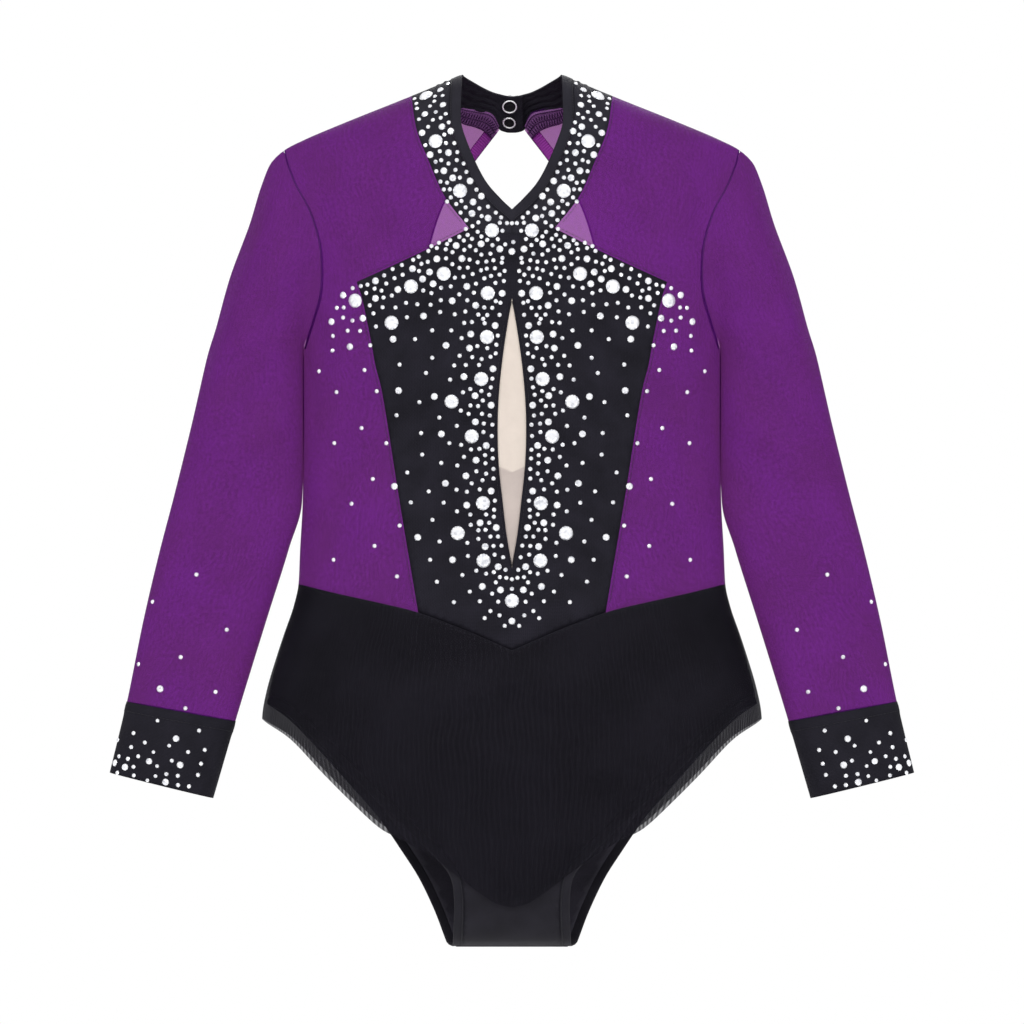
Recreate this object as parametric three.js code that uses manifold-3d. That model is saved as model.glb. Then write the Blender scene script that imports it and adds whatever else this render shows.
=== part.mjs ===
// Long-sleeved gymnastics leotard, modelled as worn: +Z up, front facing -Y, +X to the viewer's right.
// Millimetres. The origin is on the centre line at the level of the neck base, between the shoulders.
import * as THREE from "three";
import { mergeVertices } from "three/addons/utils/BufferGeometryUtils.js";
import Module from "manifold-3d";

const wasm = await Module();
wasm.setup();

// ---------------------------------------------------------------- driving dimensions
const CLOTH = 1.2; // thickness of one fabric panel
const SEAM_GAP = 0.32; // space left along every seam
const SHOULDER_ROLL = 45; // radius over which the shoulder rounds down from its ridge
const SLEEVE_ROLL = 34;
const NECK_TOP = 22.7; // height of the neck sides
const CROTCH_Z = -544; // lowest point
const BINDING_WIDTH = 6.4; // folded binding round each leg opening
const APRON_LIFT = 1.0; // air between brief and its overlay
const CRYSTAL_R = 4.6; // large flat-back crystal
const CRYSTAL_H = 2.2;
const SNAP_X = -1.5;
const SNAP_Z = [4.6, -5.6];
const SNAP_R = [4.8, 4.6];
const OVERLAP_LIFT = 4.0; // how far the overlapping collar end rides above the one beneath

// ---------------------------------------------------------------- outlines (half garment, x = distance from the centre line, z)
const SHOULDER = [[0, 22.7], [32.4, 22.7], [65.3, 9.1], [112.4, -9.8], [135.1, -19.5], [148.1, -26.3], [156.6, -34.5], [163.1, -50], [170.2, -73.5], [185.2, -113.1], [197.5, -158.6]];
// torso half width against height
const TORSO_X = [[22.7, 32.4], [9.1, 65.3], [-9.8, 112.4], [-19.5, 135.1], [-26.3, 148.1], [-32.5, 150], [-58.5, 147.5], [-91, 142.3], [-117, 139], [-136.5, 137.1], [-157.3, 135.8], [-188.5, 135.8], [-221, 135.6], [-253.5, 136], [-286, 137.7], [-308.1, 138.7], [-322, 141.6], [-340.6, 147.5], [-357.5, 152.4], [-377, 157.5], [-392, 160.2], [-416, 161.5], [-448.5, 156], [-481, 147], [-513.5, 138], [-544, 126]];
const DEPTH_FRONT = [[22.7, 46], [-78, 48], [-123.5, 52], [-162.5, 52], [-208, 47], [-253.5, 44], [-292.5, 44], [-331.5, 48], [-383.5, 52], [-422.5, 52], [-448.5, 50.5], [-481, 47], [-505, 41], [-521, 33], [-532, 24], [-539.5, 14], [-544, 0]];
const DEPTH_BACK = [[22.7, 46], [-58.5, 48], [-123.5, 46], [-188.5, 42], [-234, 39], [-279.5, 40], [-318.5, 46], [-357.5, 55], [-396.5, 60], [-435.5, 60], [-468, 57], [-494, 50], [-513.5, 41], [-527, 31], [-536.5, 20], [-541.5, 10], [-544, 0]];
// sleeve: outer and inner ends of each flat chord, and half depth
const SLEEVE = [
  [[145.5, -24.7], [137.7, -22.1], 0], [[149.4, -27.3], [131.2, -27.3], 9], [[156.6, -34.5], [118.2, -34.5], 18],
  [[163.1, -50.1], [110.4, -50.1], 25], [[170.2, -73.5], [113, -73.5], 28], [[183.6, -110], [121, -110], 29],
  [[192.7, -143], [131.2, -143], 28], [[197.2, -157.3], [136.6, -157.3], 26],
  [[208.3, -205], [137, -205], 24], [[220.3, -253.5], [138.4, -253.5], 21], [[228.8, -286], [145.2, -286], 19.5],
  [[239.5, -331.5], [159.5, -331.5], 18.5], [[250.2, -384.5], [179.7, -397.2], 17.5], [[261.2, -430.7], [194.3, -447.2], 17]];
const CUFF_TOP = [[258, -383.1], [172, -398.6]];
const CUFF_END = [[269, -428.8], [186, -449.2]];

const NECK_V = [[32.4, 26], [32.4, 22.7], [33.1, -2.6], [31.8, -13.7], [24.6, -32.5], [16.8, -47.5], [7.7, -58.2], [0, -65.6]];
const BINDING_EDGE = [[39.6, 30], [39.6, 21.5], [40.2, -2.6], [38.6, -15.6], [31.1, -35.1], [23, -50.7], [12.9, -63], [0, -74.1]];
const COLLAR_EDGE = [[65.3, 20], [65.3, 9.1], [61.7, -13.7], [54.5, -32.5], [43.5, -57.2], [27.6, -78]];
const COLLAR_JOIN = [[27.6, -78], [14.2, -80.9], [0, -81.9]];
const YOKE_TOP = [[27.6, -78], [55.2, -91.7], [78.6, -102.7], [100.4, -112.5]];
const YOKE_SIDE = [[100.4, -112.5], [96.8, -123.5], [91.6, -148.2], [88.3, -166.4], [83.1, -188.5], [72.7, -254.2], [60.6, -326.3]];
const ARMHOLE = [[149, -19], [146.4, -33.8], [140.3, -48.8], [131.9, -64.4], [126.7, -79.3], [124.1, -94.3], [124.4, -117.7], [129.6, -137.2], [133.2, -148.2], [135.9, -158.5]];
const KEYHOLE = [[0, -123], [2.6, -136.5], [5.6, -156], [7.9, -175.5], [9.3, -195], [9.5, -214.5], [8.6, -234], [6.5, -253.5], [3.8, -276.3], [0, -298]];
const WAIST_FRONT = [[146, -306.8], [139.7, -308.1], [113.7, -314], [83.8, -320.5], [60.6, -326.3], [30.8, -337.4], [0, -350.7]];
const WAIST_BACK = [[146, -306.8], [139.7, -308.1], [113.7, -314.6], [83.8, -321.4], [60.4, -327.4], [27.2, -333.6], [0, -335.6]];
const BACK_KEYHOLE = [[8.4, -11.8], [24.3, -32.5], [43.5, -58.5], [54.5, -91.7], [61.7, -130], [56.5, -169], [42.2, -201.5], [22, -224.3], [0, -235.3]];
const BACK_PANEL = [[39.5, -198], [51.9, -208], [63.6, -227.5], [69.5, -253.5], [67.5, -282.8], [60.4, -327.4]];
const COLLAR_TOP = [[32.4, 22.7], [30, 21.1], [26, 18.9], [19.4, 15.3], [13, 12.4], [7.7, 10.9], [3.8, 10], [0, 9.5]];
const COLLAR_FOOT = [[53.2, 14.3], [43.5, 7.1], [33.1, 1.6], [22, -0.6], [13, -2.8], [8.4, -10.2], [4.5, -12.2], [0, -12.6]];
const APRON_HEM = [[170, -389], [162.4, -392], [158.5, -397.1], [141.6, -408.8], [122.1, -430.3], [105.2, -447.5], [85.7, -465.4], [70.8, -473.2], [53.9, -483], [38.9, -494], [22.7, -506.3], [11, -514.2], [0, -517.4]];
const LEG_FRONT = [[167, -383.5], [162, -385.5], [147.5, -391.3], [128, -408.2], [108.5, -427.7], [87, -448.5], [64.9, -469.3], [48, -486.2], [39.6, -497.9], [37.4, -513.5], [37.8, -529.8], [38.6, -542], [39.5, -549]];
const LEG_BACK = [[167, -383.5], [162, -385.5], [144.2, -397.8], [123.4, -419.9], [103.9, -442], [87, -461.5], [70.8, -484.9], [60.4, -501.2], [50.6, -521.3], [44.1, -537.6], [41.5, -546], [41, -549]];

// large crystals, one side (x, z); each has its mirror twin, plus one on the centre line
const CRYSTALS = [
  ["shoulder_a", 55.6, 8.2], ["collar_a", 49.3, -21.6], ["collar_b", 33.5, -53.8], ["collar_c", 12.9, -79.4],
  ["yoke_a", 44, -107.4], ["yoke_b", 65.2, -115.6], ["yoke_c", 101.3, -124.6], ["yoke_d", 77.8, -139],
  ["keyhole_a", 15.6, -120], ["keyhole_b", 16.1, -148.3], ["keyhole_c", 19.8, -175.4], ["keyhole_d", 39, -190],
  ["keyhole_e", 26, -212.4], ["keyhole_f", 18.7, -255.6], ["keyhole_g", 35, -275], ["keyhole_h", 18.4, -292.8]];

// ---------------------------------------------------------------- small helpers
function table(t, v) {
  // straight interpolation in a two-column table, either direction, held at both ends
  const up = t[t.length - 1][0] > t[0][0];
  for (let i = 0; i < t.length - 1; i++) {
    const [a, b] = [t[i], t[i + 1]];
    const lo = up ? a[0] : b[0], hi = up ? b[0] : a[0];
    if (v >= lo && v <= hi) {
      const k = b[0] === a[0] ? 0 : (v - a[0]) / (b[0] - a[0]);
      return a[1] + k * (b[1] - a[1]);
    }
  }
  const first = up ? v < t[0][0] : v > t[0][0];
  return first ? t[0][1] : t[t.length - 1][1];
}
const lens = (u) => Math.pow(Math.max(0, 1 - Math.pow(Math.min(1, Math.abs(u)), 2.3)), 1 / 2.3);
const roll = (q) => {
  const c = 1 - Math.min(1, Math.max(0, q));
  return Math.sqrt(Math.max(0, 1 - c * c));
};
function curve(points, n) {
  // smooth polyline through the points
  return new THREE.SplineCurve(points.map(([x, z]) => new THREE.Vector2(x, z)))
    .getPoints(n)
    .map((p) => [p.x, p.y]);
}
const flip = (points) => points.map(([x, z]) => [-x, z]);

function torsoDepth(x, z, side, e) {
  // half depth of the torso at (x, z), grown by e
  const top = table(SHOULDER, Math.abs(x)) + e;
  const width = (z > -32.5 ? 150 : table(TORSO_X, z)) + e;
  const d = table(side < 0 ? DEPTH_FRONT : DEPTH_BACK, z) + e;
  return Math.max(0, d) * lens(x / width) * roll(((top - z) * 0.93) / SHOULDER_ROLL);
}

function closedSolid(vertices, triangles) {
  const g = new THREE.BufferGeometry();
  g.setAttribute("position", new THREE.Float32BufferAttribute(vertices, 3));
  g.setIndex(triangles);
  return solidOf(g);
}
function solidOf(geometry) {
  geometry.deleteAttribute("normal");
  geometry.deleteAttribute("uv");
  const g = mergeVertices(geometry, 1e-4);
  const index = g.index.array, keep = [];
  for (let i = 0; i < index.length; i += 3) {
    const [a, b, c] = [index[i], index[i + 1], index[i + 2]];
    if (a !== b && b !== c && a !== c) keep.push(a, b, c);
  }
  let m = new wasm.Manifold(new wasm.Mesh({ numProp: 3, vertProperties: new Float32Array(g.attributes.position.array), triVerts: new Uint32Array(keep) }));
  return m;
}
function geometryOf(solid) {
  const m = solid.simplify(0.05).getMesh();
  const g = new THREE.BufferGeometry();
  const p = new Float32Array(m.numVert * 3);
  for (let i = 0; i < m.numVert; i++) for (let k = 0; k < 3; k++) p[3 * i + k] = m.vertProperties[i * m.numProp + k];
  g.setAttribute("position", new THREE.BufferAttribute(p, 3));
  g.setIndex(Array.from(m.triVerts));
  return g;
}

// rows of closed rings (front half then back half) become one closed solid; rings may be flat lines at the ends
function loft(rings, capEnd) {
  const n = rings[0].length, v = [], t = [];
  rings.forEach((ring) => ring.forEach((p) => v.push(...p)));
  for (let r = 0; r < rings.length - 1; r++)
    for (let i = 0; i < n; i++) {
      const a = r * n + i, b = r * n + ((i + 1) % n), c = a + n, d = b + n;
      t.push(a, c, b, b, c, d);
    }
  if (capEnd) {
    const last = rings[rings.length - 1], base = (rings.length - 1) * n;
    const c = last.reduce((s, p) => [s[0] + p[0] / n, s[1] + p[1] / n, s[2] + p[2] / n], [0, 0, 0]);
    v.push(...c);
    for (let i = 0; i < n; i++) t.push(base + i, rings.length * n, base + ((i + 1) % n));
  }
  return closedSolid(v, t);
}

const TORSO_ROWS = [22.7, 17.5, 9.1, -4, -19.5, -32.5, -60, -95, -130, -157.3, -205, -253.5, -286, -308.1, -350, -392, -430, -470, -500, -521, -535, -541, -544];
const HALF_STEPS = 10;
function torsoSolid(e, from = 22.7) {
  const rings = [];
  for (const z0 of TORSO_ROWS) {
    if (z0 > from) continue;
    const z = z0 === 22.7 ? 22.7 + e : z0 === CROTCH_Z ? CROTCH_Z - e : z0;
    const w = table(TORSO_X, Math.min(22.7, z)) + e;
    const ring = [];
    for (let k = 0; k < 2 * HALF_STEPS; k++) {
      const a = (Math.PI * k) / HALF_STEPS; // 0 at -X, front first
      const x = -w * Math.cos(a);
      const front = k <= HALF_STEPS;
      let h = torsoDepth(x, z, front ? -1 : 1, e);
      if (k === 0 || k === HALF_STEPS || z0 === CROTCH_Z || z0 === 22.7) h = 0;
      ring.push([x, front ? -h : h, z]);
    }
    rings.push(ring);
  }
  if (from < 22.7) {
    // flat lid
    rings[0] = rings[0].map((p) => p);
    const lid = rings[0].map((p) => [p[0], 0, p[2] + 0.01]);
    rings.unshift(lid);
  }
  return loft(rings, false);
}
function sleeveSolid(side, e, extend, extra = 0) {
  const rows = SLEEVE.map(([o, i, d]) => [o, i, d]);
  if (extend) rows.push([[267, -455], [201, -471.5], 17]);
  const rings = rows.map(([o, i, d], r) => {
    const dx = o[0] - i[0], dz = o[1] - i[1], len = Math.hypot(dx, dz), ux = dx / len, uz = dz / len;
    const g = e + extra, w = len / 2 + g, cx = (o[0] + i[0]) / 2, cz = (o[1] + i[1]) / 2 + (r === 0 ? e : 0);
    const ring = [], n = 14;
    for (let k = 0; k < n; k++) {
      const a = (2 * Math.PI * k) / n, c = -Math.cos(a), s = Math.sin(a);
      const x = cx + ux * w * c, z = cz + uz * w * c;
      let h = Math.max(0, d + g) * lens(c) * (r < 8 ? roll(((table(SHOULDER, x) + e - z) * 0.9) / SLEEVE_ROLL) : 1);
      if (d === 0 || k === 0 || k === n / 2) h = 0;
      ring.push([x * side, (s > 0 ? -1 : 1) * h, z]);
    }
    return side < 0 ? ring.reverse() : ring;
  });
  return loft(rings, true);
}

// a flat outline in the XZ plane, extruded between two y values
function prism(points, y0, y1) {
  const g = new THREE.ExtrudeGeometry(new THREE.Shape(points.map(([x, z]) => new THREE.Vector2(x, z))), { depth: y1 - y0, bevelEnabled: false, curveSegments: 1 });
  g.rotateX(Math.PI / 2);
  g.translate(0, y1, 0);
  return solidOf(g);
}
function shifted(points, d) {
  // polyline moved sideways by d (to the left of its direction)
  return points.map((p, i) => {
    const a = points[Math.max(0, i - 1)], b = points[Math.min(points.length - 1, i + 1)];
    const l = Math.hypot(b[0] - a[0], b[1] - a[1]) || 1;
    return [p[0] - ((b[1] - a[1]) / l) * d, p[1] + ((b[0] - a[0]) / l) * d];
  });
}
function knife(points, y0, y1) {
  const h = SEAM_GAP / 2;
  return prism([...shifted(points, h), ...shifted(points, -h).reverse()], y0, y1);
}
const both = (f) => [f(1), f(-1)];
const mirrored = (points, s) => (s > 0 ? points : flip(points));

// ---------------------------------------------------------------- the cloth shell
const outer = torsoSolid(0).add(sleeveSolid(1, 0, false)).add(sleeveSolid(-1, 0, false));
const inner = torsoSolid(-CLOTH).add(sleeveSolid(1, -CLOTH, true)).add(sleeveSolid(-1, -CLOTH, true));
const shell = outer.subtract(inner);

const F = [-140, 0], B = [0, 140], ALL = [-140, 140];
const cuts = [];
// neck opening in front, and the collar region behind
const v = curve(NECK_V.slice(1), 12);
cuts.push(prism([[0, 60], [33, 60], ...v, ...flip(v).reverse().slice(1), [-33, 60]], ...F));
const foot = COLLAR_FOOT.map(([x, z]) => [x, z - 0.35]);
cuts.push(prism([[0, 60], [54.5, 60], [53.6, 14.4], ...foot.slice(1), ...flip(foot.slice(1)).reverse().slice(1), [-53.6, 14.4], [-54.5, 60]], ...B));
// back keyhole
const bk = curve(BACK_KEYHOLE, 14);
cuts.push(prism([[0, -7], [8, -7], ...bk, ...flip(bk).reverse().slice(1), [-8, -7]], ...B));
// leg openings, with room for the binding
const legFront = curve(LEG_FRONT, 16), legBack = curve(LEG_BACK, 16);
const outside = [[60, -620], [167.5, -620], [167.5, -384]];
for (const s of [1, -1]) {
  const wide = (leg, d) => [...shifted(leg, d), ...outside];
  cuts.push(prism(mirrored(wide(legFront, -(BINDING_WIDTH + SEAM_GAP)), s), ...F));
  cuts.push(prism(mirrored(wide(legBack, -(BINDING_WIDTH + SEAM_GAP)), s), ...B));
}
// seams
for (const s of [1, -1]) {
  const cut = (points, n, range) => cuts.push(knife(mirrored(n ? curve(points, n) : points, s), ...range));
  cut(BINDING_EDGE, 12, F);
  cut(COLLAR_EDGE, 8, F);
  cut(YOKE_TOP, 4, F);
  cut(YOKE_SIDE, 7, F);
  cut(COLLAR_JOIN, 3, F);
  cut(KEYHOLE, 10, F);
  cut(WAIST_FRONT, 8, F);
  cut(WAIST_BACK, 6, B);
  cut(BACK_PANEL, 8, B);
  cut(ARMHOLE, 10, ALL);
  cut([CUFF_TOP[0], CUFF_TOP[1]], 0, ALL);
}
cuts.push(knife([[0, -73.5], [0, -123.2]], ...F)); // centre seam, neck to keyhole
// side and shoulder seams of the torso, not of the sleeves
const body = [...curve(ARMHOLE, 10), [137.3, -170], [139, -306], [175, -330], [175, -560]];
cuts.push(prism([[0, 60], [149, 60], ...body, ...flip(body).reverse(), [-149, 60]], -SEAM_GAP / 2, SEAM_GAP / 2));
// everything below the cuff ends
for (const s of [1, -1]) cuts.push(prism(mirrored([CUFF_END[1], CUFF_END[0], [300, -440], [300, -520], [175, -520]], s), ...ALL));

const parts = shell.subtract(wasm.Manifold.union(cuts)).decompose().filter((p) => p.volume() > 60);

// ---------------------------------------------------------------- colours
const look = (color, roughness, metalness = 0, opacity = 1) => new THREE.MeshStandardMaterial({ color, roughness, metalness, opacity, transparent: opacity < 1 });
const BLACK = () => look(0x232328, 0.72);
const BRIEF = () => look(0x1c1b21, 0.6);
const MESH = () => look(0x682a78, 0.8);
const NUDE = () => look(0xeadcd2, 0.8);
const STEEL = () => look(0xc9ccd2, 0.25, 1);
const CRYSTAL = () => look(0xe9edf4, 0.08, 0.1);

const group = new THREE.Group();
function put(name, geometry, material) {
  const mesh = new THREE.Mesh(geometry, material);
  mesh.name = name;
  group.add(mesh);
  return mesh;
}

// name each cloth piece by a point that lies on it
const meshes = parts.map((p) => {
  const m = new THREE.Mesh(geometryOf(p), new THREE.MeshBasicMaterial({ side: THREE.DoubleSide }));
  m.updateMatrixWorld();
  m.geometry.computeVertexNormals();
  return m;
});
const SEEDS = [
  ["collar_front", 51, -14, -1, 2, BLACK], ["neck_binding", 0, -69, -1, 1, BLACK], ["front_bodice", 60, -170, -1, 1, BLACK],
  ["keyhole_insert", 0, -200, -1, 1, NUDE], ["front_mesh", 112, -220, -1, 2, MESH], ["back_mesh", 100, -120, 1, 2, MESH],
  ["back_panel", 0, -280, 1, 1, BLACK], ["brief_front", 0, -420, -1, 1, BRIEF], ["brief_back", 0, -420, 1, 1, BRIEF],
  ["sleeve", 190, -220, -1, 2, MESH], ["cuff", 225, -415, -1, 2, BLACK]];
const caster = new THREE.Raycaster();
const taken = new Set();
for (const [name, x, z, side, copies, material] of SEEDS)
  for (const s of copies === 2 ? [-1, 1] : [1]) {
    caster.set(new THREE.Vector3(x * s, side * 160, z), new THREE.Vector3(0, -side, 0));
    const hit = caster.intersectObjects(meshes, false)[0];
    const label = copies === 2 ? name + (s < 0 ? "_left" : "_right") : name;
    if (!hit) throw new Error("no cloth under " + label);
    if (taken.has(hit.object)) throw new Error(label + " shares its cloth with another piece");
    taken.add(hit.object);
    const g = hit.object.geometry.clone();
    g.deleteAttribute("normal");
    put(label, g, material());
  }
if (taken.size !== meshes.length) {
  const left = meshes.filter((m) => !taken.has(m)).map((m) => { m.geometry.computeBoundingBox(); const b = m.geometry.boundingBox; return [b.min.toArray(), b.max.toArray()].flat().map((q) => Math.round(q)).join(","); });
  throw new Error("unnamed cloth: " + left.join(" | "));
}

// ---------------------------------------------------------------- leg bindings: one folded loop each
for (const s of [1, -1]) {
  const band = (leg, range) => prism(mirrored([...leg, ...shifted(leg, -BINDING_WIDTH).reverse()], s), ...range);
  const loop = shell.intersect(band(legFront, F).add(band(legBack, B))).decompose().sort((a, b) => b.volume() - a.volume())[0];
  put("leg_binding_" + (s < 0 ? "left" : "right"), geometryOf(loop), BRIEF());
}

// ---------------------------------------------------------------- overlay (apron) over the brief, front and back
{
  const start = -286;
  const skirt = torsoSolid(APRON_LIFT + CLOTH, start).subtract(torsoSolid(APRON_LIFT, start));
  const hem = curve(APRON_HEM, 16);
  for (const [name, waist, range] of [["apron_front", WAIST_FRONT, [-140, -SEAM_GAP / 2]], ["apron_back", WAIST_BACK, [SEAM_GAP / 2, 140]]]) {
    const top = waist.map(([x, z]) => [x + (x > 140 ? 24 : 0), z - 0.4]);
    const outline = [...top, ...hem.slice().reverse().map((p) => p)];
    const half = [...top.slice().reverse(), ...hem];
    const piece = skirt.intersect(prism([...half, ...flip(half).reverse().slice(0, -1)].filter((p, i, a) => i === 0 || Math.hypot(p[0] - a[i - 1][0], p[1] - a[i - 1][1]) > 1e-3), ...range)).decompose().sort((a, b) => b.volume() - a.volume())[0];
    put(name, geometryOf(piece), BRIEF());
  }
}

// ---------------------------------------------------------------- back collar: two bands that overlap at the centre
function backPoint(x, z, lift) {
  const h = (a, b) => torsoDepth(a, b, 1, 0);
  const d = 0.4;
  const y = h(x, z);
  const n = new THREE.Vector3(-(h(x + d, z) - h(x - d, z)) / (2 * d), 1, -(y - h(x, z - d)) / d).normalize();
  return { p: new THREE.Vector3(x, Math.max(y, 0.5), z).addScaledVector(n, lift), n };
}
const holes = SNAP_Z.map((z) => backPoint(SNAP_X, z, 0));
function lathe(profile, at, segments) {
  const g = new THREE.LatheGeometry(profile.map(([r, h]) => new THREE.Vector2(r, h)), segments);
  const solid = solidOf(g.applyMatrix4(new THREE.Matrix4().compose(at.p, new THREE.Quaternion().setFromUnitVectors(new THREE.Vector3(0, 1, 0), at.n), new THREE.Vector3(1, 1, 1))));
  return solid.volume() < 0 ? null : solid;
}
for (const s of [-1, 1]) {
  // s -1: lies beneath; s +1: laps over it
  const lap = [[-3.8, 10], [-6.9, 9.8]], lapFoot = [[-4, -12.2], [-7.2, -9.8]];
  const tops = [...COLLAR_TOP, ...lap], feet = [...COLLAR_FOOT, ...lapFoot];
  const rows = 4, ring = [];
  for (let i = 0; i < tops.length; i++) {
    const line = [];
    for (let r = 0; r <= rows; r++) {
      const k = r / rows, x = (tops[i][0] + (feet[i][0] - tops[i][0]) * k) * s;
      let z = tops[i][1] + (feet[i][1] - tops[i][1]) * k;
      z = Math.min(z, table(SHOULDER, Math.abs(x)) - (i === 0 ? 0 : 0.0));
      const t = Math.min(1, Math.max(0, (30 - x) / 20));
      const lift = s > 0 ? OVERLAP_LIFT * t * t * (3 - 2 * t) : 0;
      line.push([backPoint(x, z, lift).p, backPoint(x, z, lift - CLOTH).p]);
    }
    ring.push(line);
  }
  const vv = [], tt = [], m = rows + 1, id = (i, r, k) => (i * m + r) * 2 + k;
  ring.forEach((line) => line.forEach(([a, b]) => { vv.push(...a.toArray(), ...b.toArray()); }));
  const quad = (a, b, c, d) => tt.push(a, b, c, a, c, d);
  const N = ring.length;
  for (let i = 0; i < N - 1; i++)
    for (let r = 0; r < rows; r++) {
      quad(id(i, r, 0), id(i + 1, r, 0), id(i + 1, r + 1, 0), id(i, r + 1, 0));
      quad(id(i, r, 1), id(i, r + 1, 1), id(i + 1, r + 1, 1), id(i + 1, r, 1));
    }
  for (let i = 0; i < N - 1; i++) {
    quad(id(i, 0, 0), id(i, 0, 1), id(i + 1, 0, 1), id(i + 1, 0, 0));
    quad(id(i, rows, 0), id(i + 1, rows, 0), id(i + 1, rows, 1), id(i, rows, 1));
  }
  for (let r = 0; r < rows; r++) {
    quad(id(0, r, 0), id(0, r + 1, 0), id(0, r + 1, 1), id(0, r, 1));
    quad(id(N - 1, r, 0), id(N - 1, r, 1), id(N - 1, r + 1, 1), id(N - 1, r + 1, 0));
  }
  // mirror changes handedness
  if (s > 0) for (let i = 0; i < tt.length; i += 3) [tt[i + 1], tt[i + 2]] = [tt[i + 2], tt[i + 1]];
  let band = closedSolid(vv, tt);
  if (band.volume() < 0) throw new Error("collar inside out");
  const region = prism([[0, 60], [54.2, 60], ...COLLAR_FOOT, ...flip(COLLAR_FOOT).reverse().slice(1), [-54.2, 60]], SEAM_GAP / 2, 140);
  band = band.intersect(region);
  for (const at of holes) band = band.subtract(lathe([[0, -4], [3.1, -4], [3.1, 8], [0, 8]], at, 12));
  put(s < 0 ? "collar_back_underlap" : "collar_back_overlap", geometryOf(band), BLACK());
}
// press snaps: ring and stud through the underlap, socket and ring through the overlap
holes.forEach((at, i) => {
  const R = SNAP_R[i], label = i ? "lower" : "upper";
  const a = -CLOTH - 0.8, L = OVERLAP_LIFT;
  const stud = [[0, -0.4], [1.9, -0.4], [2.1, a - 0.9], [R - 0.35, a - 0.95], [R, a - 0.5], [R - 0.2, a], [2.8, a], [2.8, 0.25], [4.1, 0.25], [4.1, 0.8], [1.7, 0.85], [1.5, 0.95], [0, 0.95]];
  const b = L + 0.25;
  const socket = [[0, 2.5], [2.0, 2.5], [2.0, 1.15], [4.0, 1.15], [4.0, L - CLOTH - 0.8], [2.8, L - CLOTH - 0.8], [2.8, b], [R - 0.2, b], [R, b + 0.5], [R - 0.35, b + 0.95], [2.1, b + 0.9], [1.9, b - 0.1], [0, b - 0.1]];
  put("snap_" + label + "_stud", geometryOf(lathe(stud, at, 12)), STEEL());
  put("snap_" + label + "_socket", geometryOf(lathe(socket, at, 12)), STEEL());
});

// ---------------------------------------------------------------- large flat-back crystals on the front
const frontOuter = new THREE.Mesh(geometryOf(outer), new THREE.MeshBasicMaterial({ side: THREE.DoubleSide }));
frontOuter.updateMatrixWorld();
const under = (x, z) => {
  caster.set(new THREE.Vector3(x, -160, z), new THREE.Vector3(0, 1, 0));
  return caster.intersectObject(frontOuter, false)[0]?.point.y ?? 0;
};
function crystal(name, x, z) {
  const d = 3.2, y = under(x, z);
  const n = new THREE.Vector3((under(x + d, z) - under(x - d, z)) / (2 * d), -1, (under(x, z + d) - under(x, z - d)) / (2 * d)).normalize();
  const turn = new THREE.Quaternion().setFromUnitVectors(new THREE.Vector3(0, 1, 0), n);
  const c = new THREE.Vector3(x, y, z);
  // lift until the whole base clears the cloth
  let lift = 0;
  for (let k = 0; k < 16; k++) {
    const q = new THREE.Vector3(Math.cos((k * Math.PI) / 8) * CRYSTAL_R, 0, Math.sin((k * Math.PI) / 8) * CRYSTAL_R).applyQuaternion(turn).add(c);
    lift = Math.max(lift, q.y - under(q.x, q.z));
  }
  const at = { p: c.addScaledVector(n, lift + 0.12), n };
  const g = lathe([[0, 0], [CRYSTAL_R, 0], [CRYSTAL_R, 0.45], [CRYSTAL_R * 0.5, CRYSTAL_H], [0, CRYSTAL_H]], at, 8);
  put("crystal_" + name, geometryOf(g), CRYSTAL());
}
for (const [name, x, z] of CRYSTALS) {
  crystal(name + "_left", -x, z);
  crystal(name + "_right", x, z);
}
crystal("centre", 0, -318.7);

export default group;
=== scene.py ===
import math

import bpy
import numpy as np
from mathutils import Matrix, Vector
from mathutils.geometry import delaunay_2d_cdt


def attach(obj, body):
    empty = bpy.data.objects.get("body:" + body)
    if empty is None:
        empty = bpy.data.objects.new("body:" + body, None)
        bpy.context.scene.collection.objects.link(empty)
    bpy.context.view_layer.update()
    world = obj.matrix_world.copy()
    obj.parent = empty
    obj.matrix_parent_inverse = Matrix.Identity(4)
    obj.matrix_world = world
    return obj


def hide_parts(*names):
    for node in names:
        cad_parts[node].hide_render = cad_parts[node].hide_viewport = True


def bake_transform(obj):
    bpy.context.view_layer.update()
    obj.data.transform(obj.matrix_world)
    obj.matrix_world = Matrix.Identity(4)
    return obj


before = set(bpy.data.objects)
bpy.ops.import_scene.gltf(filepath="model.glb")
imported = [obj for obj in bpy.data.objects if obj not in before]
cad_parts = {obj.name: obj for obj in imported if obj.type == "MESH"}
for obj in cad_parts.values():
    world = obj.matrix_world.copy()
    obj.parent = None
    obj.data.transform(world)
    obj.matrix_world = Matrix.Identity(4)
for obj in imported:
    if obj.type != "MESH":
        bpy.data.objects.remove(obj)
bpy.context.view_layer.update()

MM = 0.001
rng = np.random.default_rng(7)

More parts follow.
